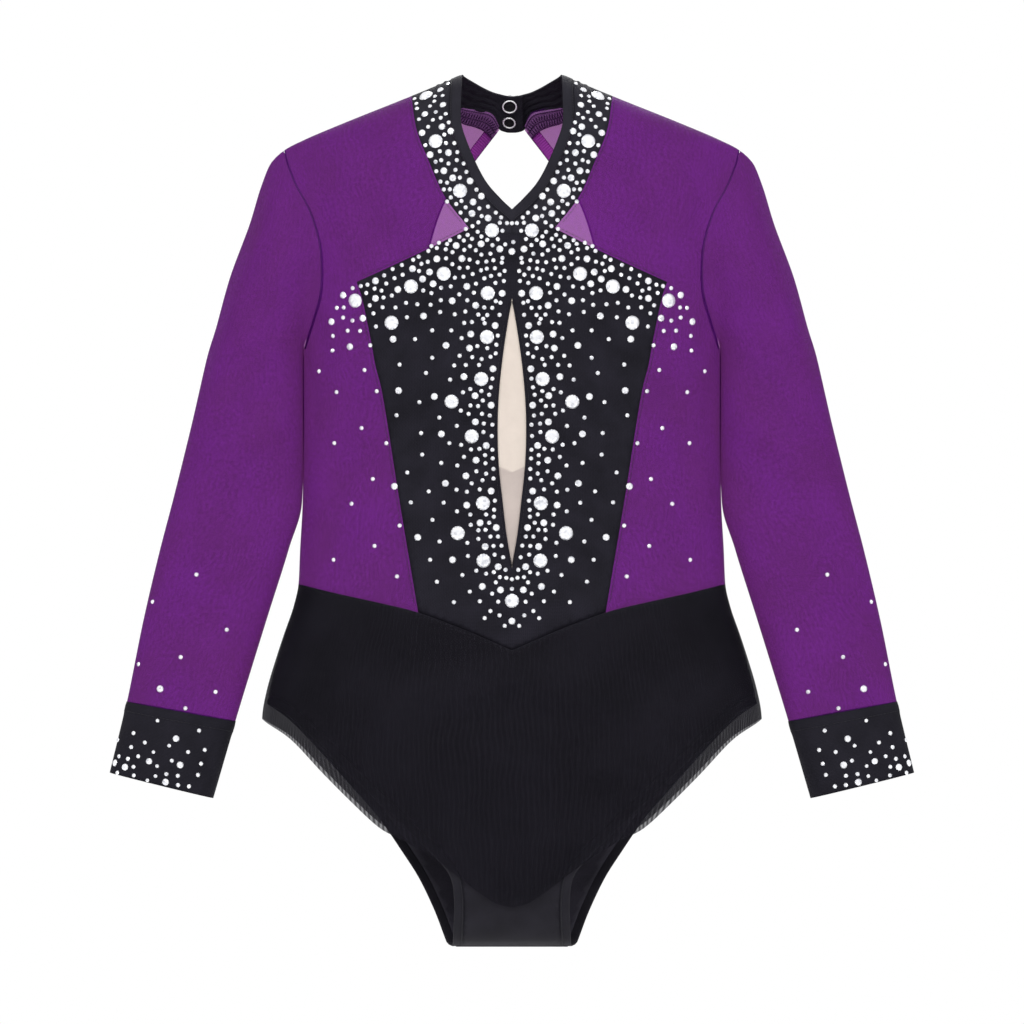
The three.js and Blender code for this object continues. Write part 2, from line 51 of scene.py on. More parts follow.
# ------------------------------------------------------------------ the garment's measurements, mm (half garment, x from the centre line, z)
SHOULDER = [[0, 22.7], [32.4, 22.7], [65.3, 9.1], [112.4, -9.8], [135.1, -19.5], [148.1, -26.3], [156.6, -34.5], [163.1, -50], [170.2, -73.5], [185.2, -113.1], [197.5, -158.6]]
TORSO_X = [[22.7, 32.4], [9.1, 65.3], [-9.8, 112.4], [-19.5, 135.1], [-26.3, 148.1], [-32.5, 150], [-58.5, 147.5], [-91, 142.3], [-117, 139], [-136.5, 137.1], [-157.3, 135.8], [-188.5, 135.8], [-221, 135.6], [-253.5, 136], [-286, 137.7], [-308.1, 138.7], [-322, 141.6], [-340.6, 147.5], [-357.5, 152.4], [-377, 157.5], [-392, 160.2], [-416, 161.5], [-448.5, 156], [-481, 147], [-513.5, 138], [-544, 126]]
DEPTH_FRONT = [[22.7, 46], [-78, 48], [-123.5, 52], [-162.5, 52], [-208, 47], [-253.5, 44], [-292.5, 44], [-331.5, 48], [-383.5, 52], [-422.5, 52], [-448.5, 50.5], [-481, 47], [-505, 41], [-521, 33], [-532, 24], [-539.5, 14], [-544, 0]]
DEPTH_BACK = [[22.7, 46], [-58.5, 48], [-123.5, 46], [-188.5, 42], [-234, 39], [-279.5, 40], [-318.5, 46], [-357.5, 55], [-396.5, 60], [-435.5, 60], [-468, 57], [-494, 50], [-513.5, 41], [-527, 31], [-536.5, 20], [-541.5, 10], [-544, 0]]
SLEEVE = [
    [[145.5, -24.7], [137.7, -22.1], 0], [[149.4, -27.3], [131.2, -27.3], 9], [[156.6, -34.5], [118.2, -34.5], 18],
    [[163.1, -50.1], [110.4, -50.1], 25], [[170.2, -73.5], [113, -73.5], 28], [[183.6, -110], [121, -110], 29],
    [[192.7, -143], [131.2, -143], 28], [[197.2, -157.3], [135.3, -157.3], 26],
    [[208.3, -205], [135.1, -205], 24], [[220.3, -253.5], [136.3, -253.5], 21], [[228.8, -286], [145.2, -286], 19.5],
    [[239.5, -331.5], [159.5, -331.5], 18.5], [[250.2, -384.5], [179.7, -397.2], 17.5], [[261.2, -430.7], [194.3, -447.2], 17]]
NECK_V = [[32.4, 22.7], [33.1, -2.6], [31.8, -13.7], [24.6, -32.5], [16.8, -47.5], [7.7, -58.2], [0, -65.6]]
BINDING_EDGE = [[39.6, 19.7], [40.2, -2.6], [38.6, -15.6], [31.1, -35.1], [23, -50.7], [12.9, -63], [0, -74.1]]
COLLAR_EDGE = [[65.3, 9.1], [61.7, -13.7], [54.5, -32.5], [43.5, -57.2], [27.6, -78]]
COLLAR_JOIN = [[27.6, -78], [14.2, -80.9], [0, -81.9]]
YOKE_TOP = [[27.6, -78], [55.2, -91.7], [78.6, -102.7], [100.4, -112.5]]
YOKE_SIDE = [[100.4, -112.5], [96.8, -123.5], [91.6, -148.2], [88.3, -166.4], [83.1, -188.5], [72.7, -254.2], [60.6, -326.3]]
ARMHOLE = [[147.6, -26], [146.4, -33.8], [140.3, -48.8], [131.9, -64.4], [126.7, -79.3], [124.1, -94.3], [124.4, -117.7], [129.6, -137.2], [133.2, -148.2], [135.8, -157.3]]
KEYHOLE = [[0, -123], [2.6, -136.5], [5.6, -156], [7.9, -175.5], [9.3, -195], [9.5, -214.5], [8.6, -234], [6.5, -253.5], [3.8, -276.3], [0, -298]]
WAIST_FRONT = [[138.7, -308.1], [113.7, -314], [83.8, -320.5], [60.6, -326.3], [30.8, -337.4], [0, -350.7]]
WAIST_BACK = [[138.7, -308.1], [113.7, -314.6], [83.8, -321.4], [60.4, -327.4], [27.2, -333.6], [0, -335.6]]
BACK_KEYHOLE = [[8.4, -11.8], [24.3, -32.5], [43.5, -58.5], [54.5, -91.7], [61.7, -130], [56.5, -169], [42.2, -201.5], [22, -224.3], [0, -235.3]]
BACK_PANEL = [[42.9, -200.4], [51.9, -208], [63.6, -227.5], [69.5, -253.5], [67.5, -282.8], [60.4, -327.4]]
COLLAR_TOP = [[32.4, 22.7], [30, 21.1], [26, 18.9], [19.4, 15.3], [13, 12.4], [7.7, 10.9], [3.8, 10], [0, 9.5], [-3.8, 10], [-6.9, 9.8]]
COLLAR_FOOT = [[53.2, 14.1], [43.5, 6.2], [33.1, 0.6], [22, -1.5], [13, -3.4], [8.4, -10.2], [4.5, -12.2], [0, -12.6], [-4, -12.2], [-7.2, -9.8]]
APRON_HEM = [[162.4, -392], [158.5, -397.1], [141.6, -408.8], [122.1, -430.3], [105.2, -447.5], [85.7, -465.4], [70.8, -473.2], [53.9, -483], [38.9, -494], [22.7, -506.3], [11, -514.2], [0, -517.4]]
LEG_FRONT = [[160.0, -385.6], [147.5, -391.3], [128, -408.2], [108.5, -427.7], [87, -448.5], [64.9, -469.3], [48, -486.2], [39.6, -497.9], [37.4, -513.5], [37.8, -529.8], [38.6, -543.6]]
LEG_BACK = [[160.0, -385.6], [144.2, -397.8], [123.4, -419.9], [103.9, -442], [87, -461.5], [70.8, -484.9], [60.4, -501.2], [50.6, -521.3], [44.1, -537.6], [41.5, -543.6]]
BINDING_WIDTH = 6.4
CUFF_Z_ROWS = (12.0, 13.0)
SNAP_X = -1.5
SNAP_Z = [4.6, -5.6]
SNAP_R = [4.85, 4.3]
OVERLAP_LIFT = 4.0
LARGE = [
    ["shoulder_a", 55.6, 8.2], ["collar_a", 49.3, -21.6], ["collar_b", 33.5, -53.8], ["collar_c", 12.9, -79.4],
    ["yoke_a", 44, -107.4], ["yoke_b", 65.2, -115.6], ["yoke_c", 101.3, -124.6], ["yoke_d", 77.8, -139],
    ["keyhole_a", 15.6, -120], ["keyhole_b", 16.1, -148.3], ["keyhole_c", 19.8, -175.4], ["keyhole_d", 39, -190],
    ["keyhole_e", 26, -212.4], ["keyhole_f", 18.7, -255.6], ["keyhole_g", 35, -275], ["keyhole_h", 18.4, -292.8]]
LARGE_R, MEDIUM_R, SMALL_R = 4.6, 2.32, 1.46
# medium and small stones of one side (x, z); each has its mirror twin
MEDIUM = [
    # collar
    [46.3, 12.2], [44.6, 2.2], [56.3, -3.8], [45.2, -12.2], [39.5, -15.1], [58.1, -16.1], [41, -29.1], [52.9, -30.4], [44, -40.8],
    [38.2, -45.4], [27, -47.4], [19.7, -57.2], [25.1, -61], [25.8, -68.4], [15.4, -71.4],
    # sleeve and cuff
    [228.2, -376], [217.9, -408.3], [235.3, -423], [257.6, -424.3], [215.2, -425.4], [251.1, -426.9], [224.7, -436.5],
    # yoke, bodice and mesh
    [19.9, -88.1], [36, -89.2], [7.8, -91.4], [32.3, -97.6], [48.5, -97.8], [64.2, -104.1], [53.2, -106.3], [57.7, -110.8], [88.2, -111.9], [50.9, -113.9],
    [29.1, -115.6], [73.7, -117.5], [6.3, -120.1], [109.2, -121], [88.2, -123.2], [38.6, -124.9], [23.4, -127.9], [57.1, -134.7], [96.4, -136], [116.8, -138.1],
    [10.8, -140.9], [26.6, -146.4], [76.8, -149.6], [42.6, -153.7], [104.8, -154.4], [27.4, -155.5], [12.2, -168.9], [31, -173.9], [73.2, -182.8], [23.8, -186.2],
    [50.1, -186.7], [13.4, -192.3], [23.6, -203.1], [45.6, -210.9], [16.6, -218.4], [23.2, -227.8], [29.7, -238], [43, -242.8], [76, -244.7], [13.4, -247.8],
    [29.2, -256.9], [20.6, -268.3], [10.1, -271.4], [60.9, -277.7], [17.3, -283.7], [38.4, -292.2], [8.9, -296.7], [19.1, -309.5], [7.4, -311.7],
]
SMALL = [
    # collar
    [41.4, 16.4], [49.8, 7.9], [44.8, 8.3], [63.1, 6.5], [50.2, 4.6], [61.9, 3.2], [53, 1.4], [61.5, 0], [49.2, -2.5],
    [42.8, -3.8], [46, -6.4], [60.1, -7.2], [51.1, -7.7], [40.8, -9.4], [54.2, -12.2], [43.6, -17.4], [37.2, -22.9], [42.6, -22.9], [55.9, -24.2],
    [46.6, -28.1], [35.3, -28.7], [35.6, -33.9], [45.7, -33.9], [49.3, -35], [31.2, -36.1], [41, -36.1], [36.5, -40.2], [48.9, -41.1], [29.4, -41.5],
    [33.6, -45.2], [46.2, -47.8], [41.9, -48.5], [40.1, -52.8], [44, -52.8], [22.9, -53], [39.5, -58], [32.6, -60.3], [41.9, -60.7], [36, -62.3],
    [15.4, -64], [29.9, -64.5], [21, -65.1], [33.2, -67.8], [10.4, -67.9], [19.5, -70.1], [7, -71], [29.5, -72.7], [21.7, -74.2], [7.8, -74.4],
    [3.2, -74.6], [25.5, -76.6], [29.8, -78.4], [6, -79.6], [22.1, -80.3],
    # sleeve and cuff
    [204.5, -301.9], [233.2, -319.6], [184.9, -337.7], [214.8, -355.4], [242.3, -360.1], [192.2, -378], [211.8, -388.6], [229.8, -396.6], [202.9, -403.1], [245.5, -404.8],
    [255.6, -409.5], [238.1, -410.9], [222.3, -412.9], [247, -413.9], [199.3, -415.7], [210, -417], [232.5, -417], [242.4, -419.8], [255, -420], [249.2, -421.5],
    [220.6, -422.6], [201.7, -424.6], [230.1, -426.1], [245.5, -426.7], [256.1, -430.6], [224.2, -431.3], [203.7, -431.9], [245.2, -432.2], [216.7, -432.4], [231.2, -432.6],
    [236.4, -435.4], [216.6, -438.4], [209.5, -439.3],
    # yoke, bodice and mesh
    [28.6, -82.3], [19.7, -83.3], [34, -83.5], [25.8, -84.8], [9.1, -85], [16, -85.5], [39.9, -85.7], [31.1, -85.9], [47.2, -87.3], [41.9, -88.1],
    [12.6, -88.9], [52, -89.5], [27.1, -89.6], [48.5, -90.7], [42.7, -91.6], [30.8, -92], [23.3, -92.2], [54, -92.6], [38.4, -93.5], [13.9, -94.4],
    [19.7, -95], [60.2, -96.3], [6.1, -97.2], [42.5, -97.4], [27.3, -98.3], [63.8, -98.3], [11.9, -98.7], [16.5, -99.6], [54.3, -99.6], [22.1, -100],
    [6.5, -100.2], [58.5, -100.9], [38.5, -101.2], [71.1, -101.7], [28.5, -103.5], [33.9, -103.7], [11, -103.9], [16.2, -104.1], [77.1, -104.3], [20, -105.2],
    [4.7, -105.6], [60, -105.6], [25.4, -107.6], [8, -108], [70.6, -108], [82.6, -108.4], [13.5, -108.9], [31.3, -109.3], [36.8, -110], [75.9, -110.2],
    [17.8, -110.4], [5.2, -112.1], [10.6, -113.4], [81.2, -113.6], [23.2, -113.9], [93.4, -114.3], [97.7, -115.2], [39.5, -115.6], [45.7, -116.5], [103, -116.5],
    [88.8, -116.9], [57.3, -118.2], [84.3, -118.2], [24.6, -119.7], [94.2, -119.7], [52, -119.9], [34, -120.8], [77.6, -121.4], [83, -122.7], [45.9, -124.5],
    [28.8, -124.6], [10.4, -125.2], [7.4, -126.2], [68.4, -126.2], [61.1, -127.1], [52.5, -127.5], [91.9, -127.7], [83.6, -129], [108.8, -129], [17.9, -129.2],
    [75.2, -129.2], [113.3, -129.2], [12.7, -129.5], [30.1, -131.8], [46.4, -132.1], [89.5, -132.9], [36.9, -133.6], [21.7, -133.8], [7.9, -134], [15.9, -134.1],
    [67.8, -135.5], [109.2, -135.5], [18.6, -136.6], [103.1, -137.5], [25.9, -138.6], [30.8, -139.2], [17.6, -139.4], [87.9, -141.4], [39.2, -144], [51.5, -144],
    [106.2, -144], [98.2, -144.2], [115.8, -147.3], [9.1, -147.4], [32.5, -149], [62.6, -149.6], [10, -153.3], [91.6, -153.5], [22.3, -154.2], [15.9, -155.5],
    [116.2, -156.8], [10.4, -158.9], [33.8, -160.4], [13.8, -161.1], [25.6, -161.3], [51.5, -161.7], [19.6, -162.5], [72.6, -166], [21.2, -166.3], [29.8, -166.3],
    [37.3, -166.7], [95.3, -169.5], [124.9, -170.1], [55.5, -171.5], [12.6, -175.2], [39.9, -175.8], [13.6, -180.8], [26.9, -181.9], [19.7, -183.2], [87.4, -183.2],
    [113.5, -183.7], [31.6, -184], [14.7, -185.6], [18.8, -189.3], [59.8, -190.3], [26.8, -192.5], [21.9, -192.9], [33, -195.8], [19.3, -197.9], [28, -197.9],
    [74.6, -198.8], [14.3, -199], [46.9, -200.3], [18.2, -204.2], [12.6, -204.9], [35.6, -205.7], [97.3, -207], [18.4, -209.7], [58.7, -210.3], [13, -212.2],
    [115, -216.7], [40.4, -216.8], [81.2, -216.8], [32.8, -217.9], [21, -220.5], [26.4, -220.9], [12.6, -221.1], [58, -224.2], [17.3, -224.6], [31, -225.7],
    [12.4, -226.7], [45.7, -229.6], [17.1, -229.8], [35.3, -231.3], [11.9, -233.5], [23, -235], [67.7, -235.8], [16.7, -236.5], [11.9, -239.7], [90, -240],
    [19, -240.8], [26, -242.8], [20.8, -246.7], [35.8, -246.9], [53.8, -248], [29.1, -248.2], [11, -254], [65.4, -255.1], [44.2, -255.3], [103.8, -256],
    [11.5, -259.9], [35.5, -260.9], [16.7, -262.9], [26.9, -262.9], [11.7, -264.4], [51.4, -266.4], [14.7, -268.3], [26.6, -269.6], [72.6, -270.1], [17.1, -272.9],
    [21.7, -273.1], [9, -277.2], [13.9, -277.2], [21.7, -278.7], [46.8, -280.4], [28.8, -281.3], [6.7, -283.1], [11.9, -283.3], [88.9, -283.3], [11.2, -288.9],
    [28.4, -289.8], [5.7, -290.6], [52.9, -292.2], [115.5, -292.3], [4.1, -298.7], [23, -299.3], [11.7, -300.2], [16.7, -301.2], [32, -302.1], [74.3, -303],
    [7.8, -303.4], [3.6, -303.9], [48.5, -306.4], [10.4, -306.8], [27.2, -312.8], [12.8, -314.1], [20.7, -319], [8.9, -319.3], [37.5, -319.6], [13.9, -325.3],
    [8, -328.1], [17.6, -329.9], [4.7, -334.9],
]
CENTRE_MEDIUM = [[0, -93], [0, -331.8]]
CENTRE_SMALL = [[0, -73.5 - 1.2], [0, -304.8], [0, -311.0]]


# ------------------------------------------------------------------ small maths
def pchip(points):
    """Dense samples of a monotone cubic through a two-column table, sorted by the first column."""
    t = np.array(sorted(points), float)
    x, y = t[:, 0], t[:, 1]
    h, d = np.diff(x), np.diff(y) / np.diff(x)
    m = np.zeros(len(x))
    for i in range(1, len(x) - 1):
        if d[i - 1] * d[i] > 0:
            w1, w2 = 2 * h[i] + h[i - 1], h[i] + 2 * h[i - 1]
            m[i] = (w1 + w2) / (w1 / d[i - 1] + w2 / d[i])
    m[0], m[-1] = d[0], d[-1]
    xs, ys = [], []
    for i in range(len(h)):
        s = np.linspace(0, 1, 24, endpoint=i == len(h) - 1)
        a, b = 2 * s**3 - 3 * s**2 + 1, s**3 - 2 * s**2 + s
        c, e = -2 * s**3 + 3 * s**2, s**3 - s**2
        xs.append(x[i] + s * h[i])
        ys.append(a * y[i] + b * h[i] * m[i] + c * y[i + 1] + e * h[i] * m[i + 1])
    return np.concatenate(xs), np.concatenate(ys)


_zs = pchip(SHOULDER[1:])
_ZT, _TX, _DF, _DB = (np.concatenate([[0], _zs[0]]), np.concatenate([[22.7], _zs[1]])), pchip([p for p in TORSO_X if p[0] <= -32.5]), pchip(DEPTH_FRONT), pchip(DEPTH_BACK)
ridge = lambda x: np.interp(np.abs(x), *_ZT)
half_width = lambda z: np.interp(z, *_TX)


def lens(u):
    return np.maximum(0, 1 - np.minimum(1, np.abs(u)) ** 2.3) ** (1 / 2.3)


def roll(q):
    c = 1 - np.clip(q, 0, 1)
    return np.sqrt(np.maximum(0, 1 - c * c))


def torso_depth(x, z, side, e=0.0):
    w = np.where(z > -32.5, 150.0, half_width(z)) + e
    d = np.interp(z, *(_DF if side < 0 else _DB)) + e
    return np.maximum(0, d) * lens(x / w) * roll((ridge(x) + e - z) * 0.93 / 45)


# sleeve rows as smooth functions of the row number
_rows = np.arange(len(SLEEVE), dtype=float)
_S = {k: pchip(list(zip(_rows, v))) for k, v in {
    "ox": [r[0][0] for r in SLEEVE], "oz": [r[0][1] for r in SLEEVE], "ix": [r[1][0] for r in SLEEVE], "iz": [r[1][1] for r in SLEEVE], "d": [r[2] for r in SLEEVE]}.items()}
sleeve_row = lambda t: tuple(np.interp(t, *_S[k]) for k in ("ox", "oz", "ix", "iz", "d"))
_tt = np.linspace(0, 13, 1301)
_o = sleeve_row(_tt)
_mid = np.stack([(_o[0] + _o[2]) / 2, (_o[1] + _o[3]) / 2], 1)
_len = np.concatenate([[0], np.cumsum(np.hypot(*np.diff(_mid, axis=0).T))])


def sleeve_coords(x, z):
    """Row number and place across (-1 inner, 1 outer) of points on the right sleeve."""
    x, z = np.asarray(x, float), np.asarray(z, float)
    lo, hi = np.full(x.shape, 0.5), np.full(x.shape, 13.0)
    for _ in range(34):
        m = (lo + hi) / 2
        ox, oz, ix, iz, d = sleeve_row(m)
        below = (ox - ix) * (z - iz) - (oz - iz) * (x - ix) < 0
        lo, hi = np.where(below, m, lo), np.where(below, hi, m)
    t = (lo + hi) / 2
    ox, oz, ix, iz, d = sleeve_row(t)
    l2 = (ox - ix) ** 2 + (oz - iz) ** 2
    c = 2 * ((x - ix) * (ox - ix) + (z - iz) * (oz - iz)) / l2 - 1
    return t, c


def sleeve_depth(x, z, side=-1, e=0.0):
    t, c = sleeve_coords(x, z)
    d = sleeve_row(t)[4]
    r = roll((ridge(x) + e - z) * 0.9 / 34)
    r = np.where(z < -175, np.maximum(r, np.clip((-175 - z) / 20, 0, 1)), r)
    return np.where((np.abs(c) < 1) & (x > 100), (d + e) * lens(c) * r, 0.0)


def near(points, x, z):
    """Distance in the XZ plane from points to a polyline."""
    p = np.asarray(points, float)
    best = np.full(np.shape(x), 1e9)
    for a, b in zip(p[:-1], p[1:]):
        d = b - a
        k = np.clip(((x - a[0]) * d[0] + (z - a[1]) * d[1]) / max(d @ d, 1e-9), 0, 1)
        best = np.minimum(best, np.hypot(x - a[0] - k * d[0], z - a[1] - k * d[1]))
    return best


def folds(x, z, side, kind):
    """Gentle waves of worn cloth, mm."""
    s = 1.0 if side < 0 else 1.3
    w = np.zeros(np.shape(x))
    if kind == "sleeve":
        t, c = sleeve_coords(x, z)
        w += 0.55 * np.exp(-(((z + 215) / 42) ** 2)) * np.sin((0.55 * x + z) * 2 * np.pi / 31 + s)
        w += 0.5 * np.exp(-(((z + 345) / 40) ** 2)) * np.sin((0.8 * x - z) * 2 * np.pi / 37 + 2 * s)
        w += 0.4 * np.sin(c * 4.1 + z * 0.021 * s) * np.clip((-z - 120) / 60, 0, 1)
    else:
        ax = np.abs(x)
        w += 0.6 * np.exp(-((np.hypot(ax - 128, z + 160) / 48) ** 2)) * np.sin((ax * 0.8 - z * 0.6) * 2 * np.pi / 24)
        w += 0.45 * np.exp(-(((z + 300) / 26) ** 2)) * np.sin(x * 2 * np.pi / 27 + s) * np.clip((ax - 60) / 30, 0, 1)
        w += 0.5 * np.exp(-(((z + 372) / 40) ** 2)) * np.sin((x * 0.35 + z) * 2 * np.pi / 46 + 1.2 * s)
        w += 0.35 * np.sin(x * 0.045 + z * 0.031 + s) * np.clip((-z - 40) / 60, 0, 1)
    return w


def depth(x, z, side, kind="torso", e=0.0):
    """Half depth of the worn garment at (|x|, z), mm."""
    x, z = np.abs(np.asarray(x, float)), np.asarray(z, float)
    a = torso_depth(x, z, side, e) if kind != "sleeve_only" else np.zeros(x.shape)
    if kind in ("sleeve", "sleeve_only") or np.any((z > -159) & (x > 100)):
        b = sleeve_depth(x, z, side, e)
    else:
        b = np.zeros(x.shape)
    if kind == "sleeve":
        a = np.where(z < -157.3, 0, a)
    else:
        b = np.where(z < -157.3, 0, b)
    k = np.maximum(np.minimum(10, 0.8 * np.minimum(a, b)), 1e-6)
    h = np.maximum(k - np.abs(a - b), 0) / k
    d = np.maximum(a, b) + h * h * k * 0.25
    d = d + folds(x, z, side, "sleeve" if kind == "sleeve" else "torso") * np.clip(d / 16, 0, 1)
    return d


# ------------------------------------------------------------------ unrolled plane: (u, v) mm, even along the cloth
_R1, _R2, _U = 48.4, 44.0, 120.0


def arc(d):
    d = np.maximum(d, 0)
    return np.where(d < _R1, _R1 * np.arccos(np.clip(1 - d / _R1, -1, 1)), _R1 * np.pi / 2 + d - _R1)


def unarc(a):
    return np.where(a < _R1 * np.pi / 2, _R1 * (1 - np.cos(a / _R1)), a - _R1 * np.pi / 2 + _R1)


_hz = np.linspace(-544, -250, 2200)
_hv = np.where(_hz > -500, _hz, -500 - (_R2 * np.pi / 2 - _R2 * np.arccos(np.clip(1 - (_hz + 544) / _R2, -1, 1))))


class Upper:
    """Torso above the waist."""
    @staticmethod
    def flat(x, z):
        w = np.where(z > -32.5, 150.0, half_width(z))
        return _U * np.arcsin(np.clip(x / w, -1, 1)), -arc(ridge(x) - z)

    @staticmethod
    def back(u, v):
        x = 150 * np.sin(u / _U)
        for _ in range(12):
            z = ridge(x) - unarc(-v)
            x = np.where(z > -32.5, 150.0, half_width(z)) * np.sin(u / _U)
        return x, z


class Lower:
    """Torso below the waist."""
    @staticmethod
    def flat(x, z):
        return _U * np.arcsin(np.clip(x / half_width(z), -1, 1)), np.interp(z, _hz, _hv)

    @staticmethod
    def back(u, v):
        z = np.interp(v, _hv, _hz)
        return half_width(z) * np.sin(u / _U), z


class Arm:
    """Right sleeve."""
    @staticmethod
    def flat(x, z):
        t, c = sleeve_coords(x, z)
        return 44 * np.arccos(np.clip(-c, -1, 1)), -np.interp(t, _tt, _len)

    @staticmethod
    def back(u, v):
        t = np.interp(-v, _len, _tt)
        c = -np.cos(u / 44)
        ox, oz, ix, iz, d = sleeve_row(t)
        return (ox + ix) / 2 + c * (ox - ix) / 2, (oz + iz) / 2 + c * (oz - iz) / 2


def spline(points, n):
    """Catmull-Rom through points, n samples by equal length."""
    p = np.asarray(points, float)
    if len(p) == 2:
        out = p
    else:
        q = np.vstack([2 * p[0] - p[1], p, 2 * p[-1] - p[-2]])
        out = []
        for i in range(1, len(q) - 2):
            t = np.linspace(0, 1, 16, endpoint=False)[:, None]
            a, b, c, d = q[i - 1], q[i], q[i + 1], q[i + 2]
            out.append(0.5 * (2 * b + (c - a) * t + (2 * a - 5 * b + 4 * c - d) * t**2 + (3 * b - a - 3 * c + d) * t**3))
        out = np.vstack(out + [p[-1:]])
    return resample(out, n)


def resample(p, n):
    s = np.concatenate([[0], np.cumsum(np.hypot(*np.diff(p, axis=0).T))])
    k = np.linspace(0, s[-1], n)
    return np.stack([np.interp(k, s, p[:, j]) for j in range(p.shape[1])], 1)


def length(p):
    return float(np.hypot(*np.diff(np.asarray(p, float)[:, :2], axis=0).T).sum())


def shifted(points, d):
    p = np.asarray(points, float)
    t = np.vstack([p[1:2] - p[:1], p[2:] - p[:-2], p[-1:] - p[-2:-1]])
    t /= np.maximum(np.hypot(t[:, 0], t[:, 1]), 1e-9)[:, None]
    return p + np.stack([-t[:, 1], t[:, 0]], 1) * d


def inside(poly, pts):
    x, y = pts[:, 0], pts[:, 1]
    hit = np.zeros(len(pts), bool)
    for (x1, y1), (x2, y2) in zip(poly, np.roll(poly, -1, 0)):
        if y1 == y2:
            continue
        cond = (y1 > y) != (y2 > y)
        hit ^= cond & (x < (x2 - x1) * (y - y1) / (y2 - y1) + x1)
    return hit


def mesh_outline(outline_uv, h):
    """Even triangles inside a closed outline in the unrolled plane."""
    o = outline_uv
    lo, hi = o.min(0), o.max(0)
    gx, gy = np.meshgrid(np.arange(lo[0], hi[0], h), np.arange(lo[1], hi[1], h * 0.87))
    gx = gx + (np.arange(gx.shape[0]) % 2)[:, None] * h / 2
    g = np.stack([gx.ravel(), gy.ravel()], 1)
    g = g[inside(o, g)]
    g = g[near(np.vstack([o, o[:1]]), g[:, 0], g[:, 1]) > 0.5 * h]
    pts = np.vstack([o, g])
    out = delaunay_2d_cdt([Vector(p) for p in pts], [], [list(range(len(o)))], 1, 1e-4)
    return np.array([tuple(v) for v in out[0]]), np.array([list(f) for f in out[2]], int)


def new_object(name, verts_mm, faces, material, smooth=True, uv=None):
    m = bpy.data.meshes.new(name)
    m.from_pydata((np.asarray(verts_mm) * MM).tolist(), [], [list(f) for f in faces])
    m.validate()
    if uv is not None:
        layer = m.uv_layers.new(name="weave")
        idx = np.zeros(len(m.loops), int)
        m.loops.foreach_get("vertex_index", idx)
        layer.data.foreach_set("uv", np.asarray(uv, np.float32)[idx].ravel())
    m.polygons.foreach_set("use_smooth", [smooth] * len(m.polygons))
    m.materials.append(material)
    o = bpy.data.objects.new(name, m)
    bpy.context.collection.objects.link(o)
    m.update()
    return o


def vertex_normals(v, f):
    n = np.zeros_like(v)
    f3 = np.array([[q[0], q[i], q[i + 1]] for q in f for i in range(1, len(q) - 1)])
    c = np.cross(v[f3[:, 1]] - v[f3[:, 0]], v[f3[:, 2]] - v[f3[:, 0]])
    for k in range(3):
        np.add.at(n, f3[:, k], c)
    return n / np.maximum(np.linalg.norm(n, axis=1), 1e-12)[:, None]


def thicken(v, f, uv, t):
    """Give an open sheet a thickness t mm, inward."""
    n = vertex_normals(v, f)
    f = [list(q) for q in f]
    edges = {}
    for q in f:
        for a, b in zip(q, q[1:] + q[:1]):
            edges[(a, b)] = True
    k = len(v)
    rim = [[b, a, a + k, b + k] for (a, b) in edges if (b, a) not in edges]
    return np.vstack([v, v - n * t]), f + [[i + k for i in reversed(q)] for q in f] + rim, np.vstack([uv, uv])


SEAMS = {}


def panel(outline, domain, side, kind="torso", h=3.0, e=0.0, dents=(), lift=None, mirror=1, weld=None):
    """A cloth panel over the outline (x, z); returns vertices in mm, faces that look outward, and the unrolled coordinates."""
    o = []
    for seg in outline:
        seg = np.asarray(seg, float)
        uv = np.stack(domain.flat(seg[:, 0], seg[:, 1]), 1)
        n = max(2, int(round(np.hypot(*np.diff(uv, axis=0).T).sum() / h)) + 1)
        o.append(resample(uv, n)[:-1])
    o = np.vstack(o)
    uv, faces = mesh_outline(o, h)
    x, z = domain.back(uv[:, 0], uv[:, 1])
    d = depth(x, z, side, kind, e)
    for line, amount, wide in dents:
        d = d - amount * np.exp(-((near(line, x, z) / wide) ** 2)) * np.clip(d / 14, 0, 1)
    if lift is not None:
        d = d + lift(x, z) * np.clip(d / 10, 0.15, 1)
    if domain is not Lower:
        d = np.where(ridge(x) - z < 0.02, 0, d)
    v = np.stack([x * mirror, side * np.maximum(d, 0), z], 1)
    faces = [list(q) for q in faces]
    n = vertex_normals(v, faces)
    if (n[:, 1] * side).sum() < 0:
        faces = [q[::-1] for q in faces]
    uv = uv.copy()
    uv[:, 0] *= mirror
    return v, faces, uv


def merged(*parts, tol=0.02):
    """Join (v, faces, uv) sets, welding vertices that coincide."""
    v = np.vstack([p[0] for p in parts])
    uv = np.vstack([p[2] for p in parts])
    f, base = [], 0
    for p in parts:
        f += [[i + base for i in q] for q in p[1]]
        base += len(p[0])
    key = np.round(v / tol).astype(np.int64)
    _, first, inv = np.unique(key, axis=0, return_index=True, return_inverse=True)
    inv = inv.ravel()
    f = [[inv[i] for i in q] for q in f]
    f = [q for q in f if len(set(q)) == len(q)]
    return v[first], f, uv[first]


def grid_faces(n, m, close=False):
    f = []
    for i in range(n - 1):
        for j in range(m if close else m - 1):
            a, b = i * m + j, i * m + (j + 1) % m
            f.append([a, b, b + m, a + m])
    return f


def grid_normals(P):
    """Unit normals of a grid of points (n, m, 3)."""
    du, dv = np.gradient(P, axis=0), np.gradient(P, axis=1)
    n = np.cross(du, dv)
    return n / np.maximum(np.linalg.norm(n, axis=2), 1e-9)[..., None]


